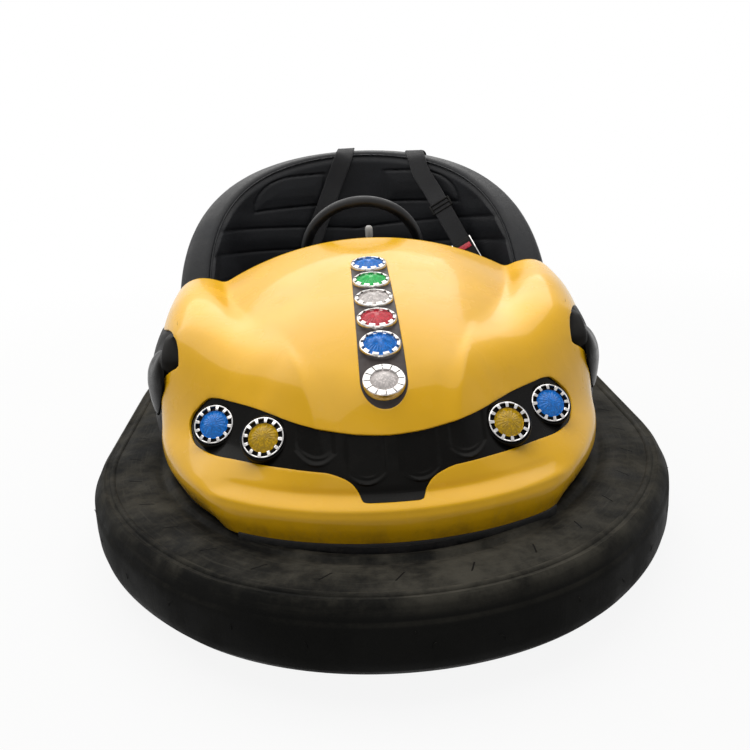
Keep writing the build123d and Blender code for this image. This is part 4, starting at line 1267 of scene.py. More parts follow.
class LampsOperator(bpy.types.Operator):
    """All lamps: petal bezels and faceted lenses on the hood, in the mask and on the tail"""

    bl_idname = "bumper_car.lamps"
    bl_label = "Lamps"

    def execute(self, context):
        s = context.scene.car_lamps
        lens = s.lens_radius
        head_lens = lens * HEAD_LENS + 0.001
        crowns = {
            "hood": toothed_bezel(s, 11, 0.6, lens + 0.0014, 0.0024),
            "head": toothed_bezel(s, 12, 0.34, head_lens, 0.0012, lens + 0.0058),
            "front": toothed_bezel(s, 12, 0.85, lens * FRONT_LENS + 0.0006, 0.0008),
        }
        glasses = {
            "hood": fluted_lens(s, 22, 0.0014, lens + 0.0046),
            "head": fluted_lens(s, 20, 0.0011, head_lens, HEAD_LENS),
            "front": fluted_lens(s, 22, 0.0005, lens + 0.003, FRONT_LENS),
        }
        *hood, front = [(lamp[0], hood_lamp_matrix(*lamp[1:])) for lamp in HOOD_LAMPS]
        groups = {
            # the lamps of each group: the kind of bezel and lens, the colour and the place
            "hood": [("hood", *lamp) for lamp in hood] + [("front", *front)],
            "head": [("head", *lamp) for lamp in wall_lamps(HEADLAMPS, -1)],
            "tail": [("head", *lamp) for lamp in wall_lamps(TAIL_LAMPS, 1)],
        }
        bezels = ("hood", "hood_lamp_bezels"), ("head", "headlamp_bezels"), ("tail", "tail_lamp_bezels")
        for group, node in bezels:
            rings = [copy_of(crowns[kind], place) for kind, _, place in groups[group]]
            dress(join(f"{group}_bezel_rings", rings), "chrome", replaces=[node], smooth=30)
        for group, tint, node in (
            ("hood", "blue", "hood_lenses_blue"), ("hood", "green", "hood_lens_green"),
            ("hood", "clear", "hood_lenses_clear"), ("hood", "red", "hood_lens_red"),
            ("head", "blue", "headlamp_lenses_blue"), ("head", "yellow", "headlamp_lenses_yellow"),
            ("tail", "red", "tail_lenses_red"), ("tail", "clear", "tail_lenses_clear"),
        ):
            lenses = [copy_of(glasses[kind], place) for kind, hue, place in groups[group] if hue == tint]
            dress(join(f"{group}_glass_{tint}", lenses), f"lens_{tint}", replaces=[node], smooth=14)
        for spare in (*crowns.values(), *glasses.values()):
            bpy.data.objects.remove(spare)
        return {"FINISHED"}


# ---- tail and sides

# The tail shell starts at REAR_START, and the seat's U is centred on (0, SEAT_Y). Its padded edge is level
# at SEAT_EDGE_TOP behind SEAT_EDGE_BACK.
REAR_START, SEAT_Y = 0.17, 0.15
SEAT_EDGE_TOP, SEAT_EDGE_BACK = 0.744, 0.605


def edge_height(y):
    """Height of the seat's padded edge: a slope over the arm, an arc, and level at the back."""
    y = np.asarray(y, float)
    cx, cy, r = circle_through((SEAT_Y, 0.456), (0.4, 0.654), (SEAT_EDGE_BACK, SEAT_EDGE_TOP))
    arm = 0.428 + (y - 0.004) / 0.146 * 0.028
    arc = cy + np.sign(0.6 - cy) * np.sqrt(np.maximum(r**2 - (y - cx) ** 2, 0))
    return np.where(y < SEAT_Y, arm, np.where(y < SEAT_EDGE_BACK, arc, SEAT_EDGE_TOP))


TAIL_ROWS = (
    # height, y of the apex, then (x, y) of the end of the tail's arc and of the corner's middle and end,
    # and half the width at the front. Millimetres.
    (188, 776, (270, 682), (352, 565), (412, 400), 428),
    (250, 792, (280, 690), (370, 562), (430, 392), 440),
    (380, 772, (275, 660), (375, 525), (436, 370), 446),
    (540, 690, (262, 590), (374, 455), (436, 320), 446),
    (720, 596, (249, 520), (370, 399), (435, 250), 446),
)


def tail_point_rows(count=90):
    """Plan points of each tail level, from the front of the +X side round to the middle of the back."""
    rows = []
    start = REAR_START * 1000
    for _, apex, arc_end, corner, corner_end, half in TAIL_ROWS:
        line = [(half, start), ((half + corner_end[0]) / 2, (start + corner_end[1]) / 2)]
        line += arc_points(corner_end, corner, arc_end, 24)
        line += arc_points(arc_end, (0, apex), (-arc_end[0], arc_end[1]), 41)[1:21]
        line = np.array(line) / 1000
        mark = run_length(line)
        rows.append(soften(resample(line, mark, np.linspace(0, mark[-1], count)), 0, 10))
        rows[-1][-1] = (0, apex / 1000)
    return np.array(rows)


class TailOperator(bpy.types.Operator):
    """Yellow tail shell under the seat's rim"""

    bl_idname = "bumper_car.tail"
    bl_label = "Tail shell"

    def execute(self, context):
        s = context.scene.car_shell
        under_rim = 0.076
        heights = np.array([row[0] for row in TAIL_ROWS]) / 1000
        fine = np.linspace(s.low, 0.72, 120)
        walls = soften(flow(heights, tail_point_rows(), fine), 0, 12)
        rows = []
        for line in walls.transpose(1, 0, 2):
            top = edge_height(line[:, 1]) - under_rim
            last = int(np.argmax(fine >= top)) if (fine >= top).any() else len(fine) - 1
            z = np.linspace(s.low, (fine[last] + min(fine[last], top[last])) / 2, 70)
            rows.append(np.column_stack([resample(line, fine, z), z]))
        tail = face_towards(sheet_mesh("tail_shell", mirrored_rows(rows)), (1, 0, 0))
        dress(thicken(tail, s.wall, s.lip), "body_yellow", replaces=["rear_shell"], smooth=40)
        return {"FINISHED"}


def rise(value, low, high):
    """Smooth step from 0 at low to 1 at high."""
    t = np.clip((np.asarray(value, float) - low) / (high - low), 0, 1)
    return t * t * (3 - 2 * t)


# Side panels: where they start behind the scoop and the plan of their face (y, x).
PANEL_FRONT = -0.362
PANEL_PLAN = mm(
    (-362, 428), (-330, 441), (-270, 462), (-200, 477), (-120, 483), (-30, 478), (60, 466), (170, 448),
)
# The scoop's face: its y and the x of its inner and outer edge, with the radius of the corner beside it.
SCOOP_Y, SCOOP_INNER, SCOOP_OUTER, SCOOP_CORNER = -0.351, 0.36, 0.4165, 0.0115
PANEL_FOOT, PANEL_CORNER_Y, PANEL_LEAN = 0.19, -0.349, 0.05
# The panel's top edge under the nose: (y, z).
PANEL_TOP = mm((-310, 455.5), (-300, 456), (-270, 454.5), (-210, 441.5), (-120, 433), (-0.1, 431))


def flank_x(y, z):
    """Distance of the side panel's face from the middle of the car."""
    y, z = np.asarray(y, float), np.asarray(z, float)
    knots = np.array(PANEL_PLAN)
    fine = np.linspace(PANEL_FRONT, REAR_START, 60)
    plan = np.interp(y, fine, flow(knots[:, 0], knots[:, 1], fine))
    ends = (0.25 + 0.75 * rise(y, PANEL_FRONT, -0.295)) * (1 - rise(y, 0.02, 0.16))
    lean = np.clip((z - 0.335) / 0.115, 0, 1) ** 1.8 * ends
    foot = np.clip((0.26 - z) / 0.07, 0, 1) ** 1.5
    return plan - 0.045 * lean - 0.007 * foot


class SidesOperator(bpy.types.Operator):
    """Black side panels that bulge out between nose and tail, each with a scoop and a pod"""

    bl_idname = "bumper_car.sides"
    bl_label = "Side panels"

    def execute(self, context):
        form = NoseForm(context.scene.car_shell.rounding)
        for name, side in (("right", 1), ("left", -1)):
            panel, pod = self.panel(form), self.pod()
            if side < 0:
                right = panel, pod
                panel, pod = (copy_of(part, Matrix.Scale(-1, 4, (1, 0, 0))) for part in right)
                for part in right:
                    bpy.data.objects.remove(part)
            panel.name, pod.name = f"side_skin_{name}", f"side_pod_{name}"
            dress(panel, "satin_black", replaces=[f"side_panel_{name}"], smooth=50)
            dress(pod, "gloss_black", smooth=60)
        return {"FINISHED"}

    def panel(self, form):
        """Skin of the +X panel: a scoop face that looks forward, a rounded corner, and the bulging side."""
        outline = flank_outline()
        columns = [("face", t) for t in np.linspace(0, 1, 10, endpoint=False)]
        columns += [("corner", t) for t in np.linspace(0, 1, 8, endpoint=False)]
        columns += [("side", y) for y in np.linspace(PANEL_CORNER_Y, -0.0005, 84)]
        columns += [("side", y) for y in np.linspace(0.0005, REAR_START, 30)]
        rows = []
        for kind, value in columns:
            x, y, z = self.column(kind, value)
            skin = form.reach(np.stack([0 * z, y, z], -1), np.zeros((len(z), 3)) + (1.0, 0, 0))
            covered = rise(outline_distance(np.stack([y, z], -1), outline), -0.009, -0.001)
            under_nose = np.minimum(x, skin - 0.0085)
            x = np.where(y < 0, x + (under_nose - x) * covered, x)
            rows.append(np.stack([x, y, z], -1))
        panel = sheet_mesh("side_skin", np.array(rows))
        face_towards(panel, (1, 0, 0), len(panel.data.polygons) // 2)
        return thicken(panel, 0.004, 0.0008)

    def column(self, kind, value):
        """Points up a column of the panel: at a share of the scoop's face or corner, or at a y."""
        y_top = -0.304
        if kind == "side":
            y_top = value + 0.05 * (1 - rise(value, PANEL_CORNER_Y, -0.24))
        high = float(np.interp(y_top, *zip(*PANEL_TOP)))
        if kind == "side" and value > 0:
            high = float(edge_height(value)) - 0.0835
        share = np.linspace(0, 1, 60)
        fold_up, fold_in = (0.0016, 0.0024, 0.0024), (0.002, 0.008, 0.022)
        z = np.concatenate([PANEL_FOOT + (high - PANEL_FOOT) * share, np.add(high, fold_up)])
        turned_in = np.concatenate([0 * share, fold_in])
        lean = np.clip((z - 0.405) / 0.05, 0, 1) ** 1.4
        back = PANEL_LEAN * lean
        y = SCOOP_Y - 0.011 * rise(z, 0.325, 0.35) + back
        if kind == "face":
            x = SCOOP_INNER + (SCOOP_OUTER - SCOOP_INNER) * value - 0.01 * lean * value
            return x, y + 0.004 * (1 - value) + 0.003 * sin(pi * value) + turned_in, z
        if kind == "corner":
            a = value * pi / 2
            x = SCOOP_OUTER + SCOOP_CORNER * sin(a) - turned_in * sin(a) - 0.01 * lean
            return x, y + SCOOP_CORNER * (1 - cos(a)) + turned_in * cos(a), z
        y = value + back * (1 - rise(value, PANEL_CORNER_Y, -0.24))
        return flank_x(value + 0 * z, z) - turned_in, y, z

    def pod(self):
        """Egg-shaped fairing that stands on the panel behind the scoop."""
        middle_y, middle_z, half_long, above, below, sunk = -0.305, 0.366, 0.062, 0.05, 0.092, 0.004
        turns = np.linspace(0, tau, 56, endpoint=False)
        up = np.sin(turns)
        down = np.maximum(-up, 0)
        rows = []
        for share in (1.0, 1.0, 0.985, 0.96, 0.92, 0.86, 0.78, 0.68, 0.56, 0.42, 0.28, 0.14, 0.0):
            z = middle_z + share * np.where(up > 0, above, below) * up
            y = middle_y + share * half_long * np.cos(turns) * (1 - 0.25 * down) + 0.02 * share * down
            out = (0.0155 - 0.004 * share * down) * (1 - share**2.4) ** 0.55 - (0.0 if rows else sunk)
            rows.append(np.stack([flank_x(y, z) + out, y, z], -1))
        rows.insert(0, np.repeat(rows[0].mean(0)[None], len(turns), 0))
        return tube_mesh("side_pod", rows)


class TrimOperator(bpy.types.Operator):
    """Rubber trim band under the nose's bottom edge, cut square at both ends"""

    bl_idname = "bumper_car.trim"
    bl_label = "Chin trim"

    def execute(self, context):
        s = context.scene.car_shell
        azimuth = np.linspace(-34.5, 38.8, 90)[:, None]
        origin, ray, reach = skin_at(NoseForm(s.rounding), azimuth, np.array([[s.low + 0.002]]))
        # out from the skin, and up from the shell's bottom edge
        section = mm(
            (-6, -10.5), (2.2, -10.5), (3.4, -9.5), (3.8, -7), (3.8, 2.5), (3.2, 4.5), (1.8, 5.2),
            (0.4, 4.8), (-6, 4.5),
        )
        lines = []
        for out, up in section:
            points = (origin + ray * (reach + out)[..., None])[:, 0]
            points[:, 2] = s.low + up
            lines.append(points)
        band = sheet_mesh("chin_band", np.array(lines).transpose(1, 0, 2), around=True)
        with edit_mode(band):
            bpy.ops.mesh.region_to_loop()
            bpy.ops.mesh.edge_face_add()
        dress(tidy(band, 1e-6), "wheel_rubber", smooth=40)
        return {"FINISHED"}


# ---- the seat

# The seat's U: radii of its roll, lining and outer back in plan, where its arms start, its foot, and the
# heights of its seams at the back.
ROLL_RADIUS, LINING_LOW, LINING_HIGH, OUTER_RADIUS = 0.4145, 0.345, 0.3825, 0.418
ARM_START, SEAT_FOOT = 0.006, 0.245
SEAM_LEVELS = (0.285, 0.345, 0.408, 0.472, 0.532)


def seat_track(radius, count_arm=14, count_arc=90):
    """Plan of the seat's U at a radius: from the front of the +X arm round the back."""
    arm = [(radius, y) for y in np.linspace(ARM_START, SEAT_Y, count_arm, endpoint=False)]
    arc = [(radius * cos(a), SEAT_Y + radius * sin(a)) for a in np.linspace(0, pi, count_arc)]
    return np.array(arm + arc + [(-x, y) for x, y in arm[::-1]])


def rim_height(y, radius):
    """Height of the padded edge, for a place at a radius inside it."""
    y = np.asarray(y, float)
    return edge_height(np.where(y > SEAT_Y, SEAT_Y + (y - SEAT_Y) * 0.4445 / radius, y))


class SeatOperator(bpy.types.Operator):
    """Wrap-round seat back: a thick padded roll along its edge over a stitched and quilted inner face"""

    bl_idname = "bumper_car.seat"
    bl_label = "Seat back"

    def execute(self, context):
        roll = self.roll()
        dress(roll, "black_leather", replaces=["seat_back"], smooth=70)
        dress(self.lining(), "black_leather", smooth=70)
        dress(self.piping(), "black_leather", smooth=60)
        dress(self.outer_back(), "satin_black", smooth=50)
        return {"FINISHED"}

    def roll(self):
        """The padded roll: fuller and rounder outside than in, its section turned along the U."""
        half_high = 0.0405
        track = seat_track(ROLL_RADIUS)
        outwards = unit(track - seat_track(ROLL_RADIUS - 0.0395))
        turns = np.linspace(0, tau, 36, endpoint=False)
        across, up = np.cos(turns), np.sin(turns)
        inside = across < 0
        power = np.where(inside, 0.4, 0.75)
        across = np.where(inside, 0.0345, 0.0405) * np.sign(across) * np.abs(across) ** power
        up = half_high * np.sign(up) * np.abs(up) ** power
        middle = edge_height(track[:, 1] + outwards[:, 1] * 0.03) - half_high
        plan = track[:, None] + outwards[:, None] * across[:, None]
        rows = np.concatenate([plan, (middle[:, None] + up)[..., None]], -1)
        swell = 0.006
        caps = []
        for end in (rows[0], rows[-1]):
            centre = end.mean(0)
            shares = (0.0, 0.55, 0.9, 0.985)
            caps.append(np.array([centre + (end - centre) * k - (0, swell * (1 - k), 0) for k in shares]))
        return tube_mesh("seat_roll", np.concatenate([caps[0], rows, caps[1][::-1]]))

    def lining(self):
        """The inner face, pressed in along its seams."""
        levels = np.linspace(0, 1, 150)
        radii = LINING_LOW + 0.0285 * levels + 0.009 * rise(levels, 0.955, 1.0)
        plan = np.array([seat_track(radius, 16, 190) for radius in radii])
        top = rim_height(plan[-1][:, 1], LINING_HIGH) - 0.009
        z = SEAT_FOOT + (top - SEAT_FOOT)[None, :] * levels[:, None]
        away = unit(plan - np.stack([0 * z, np.minimum(plan[..., 1], SEAT_Y)], -1))
        along = run_length(plan[75])
        along = (along - along[-1] / 2)[None, :] + 0 * z
        spot = plan + away * self.pressed(along, z)[..., None]
        lining = sheet_mesh("seat_lining", np.concatenate([spot, z[..., None]], -1))
        face_towards(lining, (0, -1, 0), len(lining.data.polygons) // 2)
        return thicken(lining, 0.004)

    def pressed(self, along, z):
        """How far the cover is pressed back: thin grooves along the seams, with low padding between them."""
        pressed = 0.0012 * np.sin(along * 23 + 1.3) * np.sin(z * 31 + along * 5)
        turned = np.abs(along) / 0.362
        for level in SEAM_LEVELS:
            gap = z - (level + 0.035 * turned)
            pressed += 0.0036 * bell(gap, 0.0024) - 0.0016 * bell(np.abs(gap) - 0.022, 0.018)
        spots = np.stack([along.ravel(), z.ravel()], -1)
        for side in (-1, 1):
            d = outline_distance(spots, self.head_panel(side)).reshape(z.shape)
            pressed += 0.0038 * bell(d, 0.0026) - 0.003 * np.clip(-d / 0.03, 0, 1)
        return pressed

    def head_panel(self, side):
        """Outline of a quarter-round head panel, along the U and up."""
        corner = [(0.165 + 0.13 * sin(t), 0.604 + 0.081 * cos(t)) for t in np.linspace(0, pi / 2, 16)]
        return np.array([(0.08, 0.602), (0.08, 0.686)] + corner) * (-side, 1)

    def piping(self):
        """Sewn cord between the roll and the lining."""
        radius = LINING_HIGH - 0.0033
        points = [(x, y, float(rim_height(y, radius)) - 0.0105) for x, y in seat_track(radius, 10, 70)]
        return tube("seat_piping", points, 0.0021, sides=8)

    def outer_back(self):
        """Plain back of the seat that joins the roll to the tail."""
        track = seat_track(OUTER_RADIUS)
        top = edge_height(track[:, 1]) - 0.05
        levels = np.linspace(0, 1, 8)
        rows = [np.column_stack([track, SEAT_FOOT + (top - SEAT_FOOT) * share]) for share in levels]
        back = sheet_mesh("seat_outer_back", rows)
        face_towards(back, (0, 1, 0), len(back.data.polygons) // 2)
        return thicken(back, 0.004)


# ---- belts

def strap(name, points, across, width, thick):
    """Flat webbing along a smooth line, its width turned to given directions, with a UV map in metres."""
    points, across = np.asarray(points, float), np.asarray(across, float)
    run = run_length(points)
    at = np.linspace(0, run[-1], max(24, int(run[-1] / 0.006)))
    line = soften(flow(run, points, at), 0, 6)
    side = flow(run, across, at)
    tangent = unit(np.gradient(line, axis=0))
    side = unit(side - (side * tangent).sum(1)[:, None] * tangent)
    face = np.cross(tangent, side)
    half, h = width / 2, thick / 2
    edge = [(half - 0.006, h), (half - 0.003, h * 1.25), (half - 0.0005, h * 0.9), (half, 0)]
    upper = [(-a, b) for a, b in edge[::-1]] + edge
    lower = [(half - 0.0005, -h * 0.9), (half - 0.006, -h), (-half + 0.006, -h), (-half + 0.0005, -h * 0.9)]
    section = upper + lower
    rows = [[centre + s * a + f * b for a, b in section] for centre, s, f in zip(line, side, face)]
    belt = close_ends(sheet_mesh(name, rows, around=True))
    layer = belt.data.uv_layers.new(name="UVMap")
    for loop in belt.data.loops:
        row, column = divmod(loop.vertex_index, len(section))
        layer.data[loop.index].uv = (section[column][0], at[row])
    return belt


def close_ends(obj):
    """Fills the open ends of a tube-like mesh and turns its faces outwards."""
    with edit_mode(obj, "DESELECT"):
        bpy.ops.mesh.select_mode(type="EDGE")
        bpy.ops.mesh.select_non_manifold(
            use_wire=False, use_multi_face=False, use_non_contiguous=False, use_verts=False
        )
        bpy.ops.mesh.edge_face_add()
        bpy.ops.mesh.select_all(action="SELECT")
        bpy.ops.mesh.normals_make_consistent(inside=False)
        bpy.ops.mesh.select_mode(type="VERT")
    return obj


def block(name, size, radius, matrix=None, segments=3):
    """Box with rounded edges: a cube shaped at its size and bevelled, then moved by a matrix."""
    clear_selection()
    bpy.ops.mesh.primitive_cube_add(size=1.0, location=(0, 0, 0))
    box = bpy.context.object
    box.name = name
    box.data.transform(Matrix.Diagonal((*size, 1)))
    bevel(box, radius, segments)
    if matrix is not None:
        box.data.transform(matrix)
    return box


def frame_at(origin, along, face):
    """Matrix with X along a direction, Z out of a face."""
    along = Vector(along).normalized()
    across = Vector(face).cross(along).normalized()
    return axes_at(origin, along, across, along.cross(across))


BELTS = (
    # side; anchor behind the seat, over the roll, inner edge of the roll, top of the free run; buckle end;
    # slide adjuster's share of the run, or 0 for none
    (
        "left",
        ((-0.012, 0.602, 0.655), (-0.016, 0.566, 0.7475), (-0.02, 0.544, 0.7425), (-0.024, 0.521, 0.733)),
        (-0.165, 0.448, 0.42),
        0.0,
    ),
    (
        "right",
        ((0.172, 0.556, 0.63), (0.167, 0.531, 0.7345), (0.171, 0.481, 0.7195), (0.174, 0.4675, 0.697)),
        (0.268, 0.331, 0.505),
        0.54,
    ),
)
STRAP_WIDTH, STRAP_THICK, STRAP_BOW = 0.047, 0.0026, 0.0036


class BeltsOperator(bpy.types.Operator):
    """Two lap belts over the seat's rim, with their slide adjuster, buckles and anchors"""

    bl_idname = "bumper_car.belts"
    bl_label = "Belts"

    def execute(self, context):
        self.parts = {"housings": [], "frames": [], "buttons": [], "anchors": []}
        for side, places, low, slide in BELTS:
            anchor, over, inner, top, low = (np.array(p) for p in (*places, low))
            run = unit(low - top)
            middle = (low + top) / 2
            inwards = np.array([-0.45 * middle[0], SEAT_Y - middle[1], 0.12])
            across = unit(np.cross(inwards, run))
            face = np.cross(run, across)
            back = unit(np.array([over[0], over[1] - SEAT_Y, 0]))
            sideways = np.cross([0, 0, 1.0], -back)
            if np.dot(across, sideways) < 0:
                sideways = -sideways
            rim = over + back * 0.03 + (0, 0, -0.0035)
            corner = over + back * 0.052 + (0, 0, -0.022)
            points = [anchor, corner + (0, 0, -0.02), corner, rim, over, inner, top, top + run * 0.09]
            points += [middle + face * STRAP_BOW, low]
            ways = [sideways] * 6 + [across * 0.7 + sideways * 0.3] + [across] * 3
            belt = strap(f"belt_webbing_{side}", points, ways, STRAP_WIDTH, STRAP_THICK)
            dress(belt, "webbing", replaces=[f"belt_{side}"], smooth=50)
            if np.dot(face, inwards) < 0:
                face = -face
            self.buckle(frame_at(low + run * 0.034, run, face))
            if slide:
                self.adjuster(frame_at(top + (low - top) * slide, run, face))
            plate = frame_at(anchor + back * 0.004, (0, 0, 1), back)
            self.add("anchors", "plate", (0.05, 0.052, 0.0032), 0.0014, plate)
            self.parts["anchors"].append(bolt("anchor", 0.0085, 0.006, plate @ shift(-0.006, 0, 0.0016)))
        dress(join("buckle_housings", self.parts["housings"]), "satin_black", replaces=["belt_buckles"])
        dress(join("buckle_frames", self.parts["frames"]), "chrome")
        # the red buttons take the red lens finish, with its painted glints and faint painted glow, though
        # they are no lamps
        dress(join("buckle_buttons", self.parts["buttons"]), "lens_red")
        dress(join("belt_anchors", self.parts["anchors"]), "bare_steel")
        return {"FINISHED"}

    def add(self, group, name, size, radius, matrix, segments=3):
        """Adds a rounded block to a group."""
        self.parts[group].append(block(name, size, radius, matrix, segments))

    def buckle(self, place):
        """Housing with its mouth, side cheeks and red button."""
        self.add("housings", "housing", (0.066, 0.05, 0.0165), 0.0045, place)
        self.add("housings", "mouth", (0.012, 0.054, 0.013), 0.003, place @ shift(-0.031, 0, 0))
        for edge in (-0.0262, 0.0262):
            self.add("frames", "cheek", (0.07, 0.0034, 0.019), 0.0009, place @ shift(0, edge, 0), 2)
        self.add("buttons", "button", (0.014, 0.038, 0.004), 0.0016, place @ shift(-0.013, 0, 0.0084))

    def adjuster(self, place):
        """Slide adjuster: three bars between two rails, on the webbing's face."""
        raised = 0.0042
        for along in (-0.012, 0.0, 0.012):
            self.add("housings", "bar", (0.005, 0.058, 0.0058), 0.0018, place @ shift(along, 0, raised))
        for edge in (-0.0275, 0.0275):
            self.add("housings", "rail", (0.029, 0.0055, 0.0064), 0.0018, place @ shift(0, edge, raised))


def bolt(name, radius, height, matrix=None):
    """Hexagon bolt head on a washer, standing on Z = 0."""
    brim, top, chamfer = radius * 1.45, height * 0.26, height * 0.22
    washer = lathe(name, [(0, 0), (brim, 0), (brim, chamfer), (radius * 0.9, top), (0, top)], 28)
    clear_selection()
    middle = (0, 0, height * 0.62)
    bpy.ops.mesh.primitive_cylinder_add(vertices=6, radius=radius, depth=height * 0.8, location=middle)
    head = bevel(settle(bpy.context.object), radius * 0.09)
    both = join(name, [washer, head])
    if matrix is not None:
        both.data.transform(matrix)
    return both


# ---- cushion

# The bench cushion in plan and height, its sewn channels, and how far blowing it up may move it.
CUSHION_RADIUS, CUSHION_FRONT, CUSHION_LOW, CUSHION_TOP = 0.337, 0.068, 0.247, 0.312
CUSHION_CHANNELS, CUSHION_SWELL, CUSHION_BASE = (-0.115, 0.115), 0.014, 0.2406


class CushionOperator(bpy.types.Operator):
    """Bench cushion, blown up as cloth and pressed in along two sewn channels, with piping round its edge"""

    bl_idname = "bumper_car.cushion"
    bl_label = "Seat cushion"

    def execute(self, context):
        r = CUSHION_RADIUS
        outline = [(r, CUSHION_FRONT), (r, SEAT_Y)]
        outline += [(r * cos(a), SEAT_Y + r * sin(a)) for a in np.linspace(0, pi, 40)][1:-1]
        outline += [(-r, SEAT_Y), (-r, CUSHION_FRONT)]
        bm = bmesh.new()
        face = bm.faces.new([bm.verts.new((x, y, CUSHION_LOW)) for x, y in outline])
        grown = bmesh.ops.extrude_face_region(bm, geom=[face])["geom"]
        top = [v for v in grown if isinstance(v, bmesh.types.BMVert)]
        bmesh.ops.translate(bm, vec=(0, 0, CUSHION_TOP - CUSHION_LOW), verts=top)
        bmesh.ops.recalc_face_normals(bm, faces=bm.faces)
        mesh = bpy.data.meshes.new("cushion_pad")
        bm.to_mesh(mesh)
        bm.free()
        pad = bevel(new_object("cushion_pad", mesh), 0.014, 3, 50)
        modify(pad, "REMESH", mode="VOXEL", voxel_size=0.0055, use_smooth_shade=True)
        self.inflate(pad)
        modify(pad, "SMOOTH", factor=0.5, iterations=6)
        self.sew(pad)
        modify(pad, "SUBSURF", levels=1, render_levels=1)
        dress(pad, "black_leather", replaces=["seat_cushion"], smooth=80)
        edge = [(x * 1.012, SEAT_Y + (y - SEAT_Y) * 1.012, CUSHION_TOP - 0.004) for x, y in outline]
        dress(tube("cushion_piping", edge, 0.003, sides=8, cyclic=True), "black_leather", smooth=60)
        return {"FINISHED"}

    def inflate(self, pad):
        """Swells the pad as cloth under pressure and caps how far any point moves."""
        start = np.array([v.co for v in pad.data.vertices])
        last_frame = 20
        pick(pad)
        cloth = pad.modifiers.new("Cloth", "CLOTH")
        settings = cloth.settings
        settings.quality = 6
        settings.mass = 0.3
        settings.tension_stiffness = settings.compression_stiffness = 18
        settings.bending_stiffness = 0.6
        settings.use_pressure = True
        settings.uniform_pressure_force = 4.0
        settings.effector_weights.gravity = 0.0
        cloth.point_cache.frame_start, cloth.point_cache.frame_end = 1, last_frame
        scene = bpy.context.scene
        for number in range(1, last_frame + 1):
            scene.frame_set(number)
        bpy.ops.object.modifier_apply(modifier=cloth.name)
        scene.frame_set(1)
        moved = np.array([v.co for v in pad.data.vertices]) - start
        distance = np.linalg.norm(moved, axis=1)
        scale = np.where(distance > CUSHION_SWELL, CUSHION_SWELL / np.maximum(distance, 1e-9), 1.0)
        for vertex, place in zip(pad.data.vertices, start + moved * scale[:, None]):
            vertex.co = place

    def sew(self, pad):
        """Crowns the top, sets the sewn channels in it and flattens the underside on the seat's base."""
        for v in pad.data.vertices:
            x, y, z = v.co
            up = min(1.0, max(0.0, (z - 0.285) / 0.02))
            from_side = (CUSHION_RADIUS - hypot(x, max(0.0, y - SEAT_Y))) / 0.12
            from_front = (y - CUSHION_FRONT) / 0.1
            z += up * 0.009 * min(1.0, max(0.0, from_side)) * min(1.0, max(0.0, from_front))
            for channel in CUSHION_CHANNELS:
                z -= up * 0.0085 * exp(-(((x - channel) / 0.0075) ** 2))
                z += up * 0.002 * exp(-(((abs(x - channel) - 0.025) / 0.02) ** 2))
            v.co = (x, y, max(z, CUSHION_BASE))


# ---- steering

STEERING_CENTRE, STEERING_TILT = (0, 0.14, 0.524), 22
GRIP_RADIUS, GRIP_THICK = 0.137, 0.013


def wheel_frame(distance=0.0):
    """Matrix at the steering wheel, Z up its column towards the driver; distance is down the column."""
    tilt = radians(STEERING_TILT)
    down = Vector((0, -cos(tilt), -sin(tilt)))
    return frame_at(Vector(STEERING_CENTRE) + down * distance, (1, 0, 0), -down)


def near_angle(angle, middle, width):
    """A rounded bump of height 1 round an angle."""
    return exp(-((((angle - middle + pi) % tau - pi) / width) ** 2))


class SteeringOperator(bpy.types.Operator):
    """Grip of the steering wheel with its moulded seam and thumb swells, and the wheel's centre cap"""

    bl_idname = "bumper_car.steering"
    bl_label = "Steering wheel"

    def execute(self, context):
        around, section = 180, 20
        rows = []
        for a in (tau * i / around for i in range(around)):
            row = []
            for b in (tau * i / section for i in range(section)):
                finger = 0.0007 * (0.5 + 0.5 * cos(a * 40)) * max(0.0, -cos(b))
                seam = 0.0009 * near_angle(b, pi / 2, 0.12)
                swell = 0.0010 * sum(near_angle(a, thumb, 0.16) for thumb in (0.3, pi - 0.3))
                r = GRIP_THICK - finger - seam + swell
                out = GRIP_RADIUS + r * cos(b)
                row.append((out * cos(a), out * sin(a), r * sin(b)))
            rows.append(row)
        grip = sheet_mesh("steering_grip", rows, around=True, closed=True)
        grip.data.transform(wheel_frame())
        dress(tidy(grip, 1e-6), "grip_rubber", "steering", replaces=["steering_rim"], smooth=60)
        profile = mm(
            (0, 20.5), (12, 20.2), (19, 19), (20.5, 17.6), (22, 17.6), (23.5, 18.8), (27, 17.8), (29, 15.5),
            (29.3, 13.9), (0, 13.9),
        )
        dress(lathe("steering_cap", profile, 48, matrix=wheel_frame()), "satin_black", "steering", smooth=35)
        on_cap = shift(0.0245, 0, 0.0184)
        places = [wheel_frame() @ rotation(radians(a), "Z") @ on_cap for a in (45, 135, 225, 315)]
        screws = [bolt("screw", 0.0021, 0.0022, place) for place in places]
        dress(join("steering_screws", screws), "bare_steel", "steering")
        return {"FINISHED"}


# ---- cockpit

# Where the gear lever stands in the cockpit.
LEVER_X, LEVER_Y, LEVER_Z = 0.015, 0.06, 0.508
# The pedal's foot (y, z), its rise and how far back it leans.
PEDAL_X, PEDAL_FOOT, PEDAL_RISE, PEDAL_LEAN = 0.11, (-0.1815, 0.0862), 0.096, -0.022
# Screws of the dash board: x to either side and z.
DASH_SCREWS = ((0.385, 0.44), (0.36, 0.3), (0.36, 0.215), (0.3, 0.45), (0.2, 0.46))


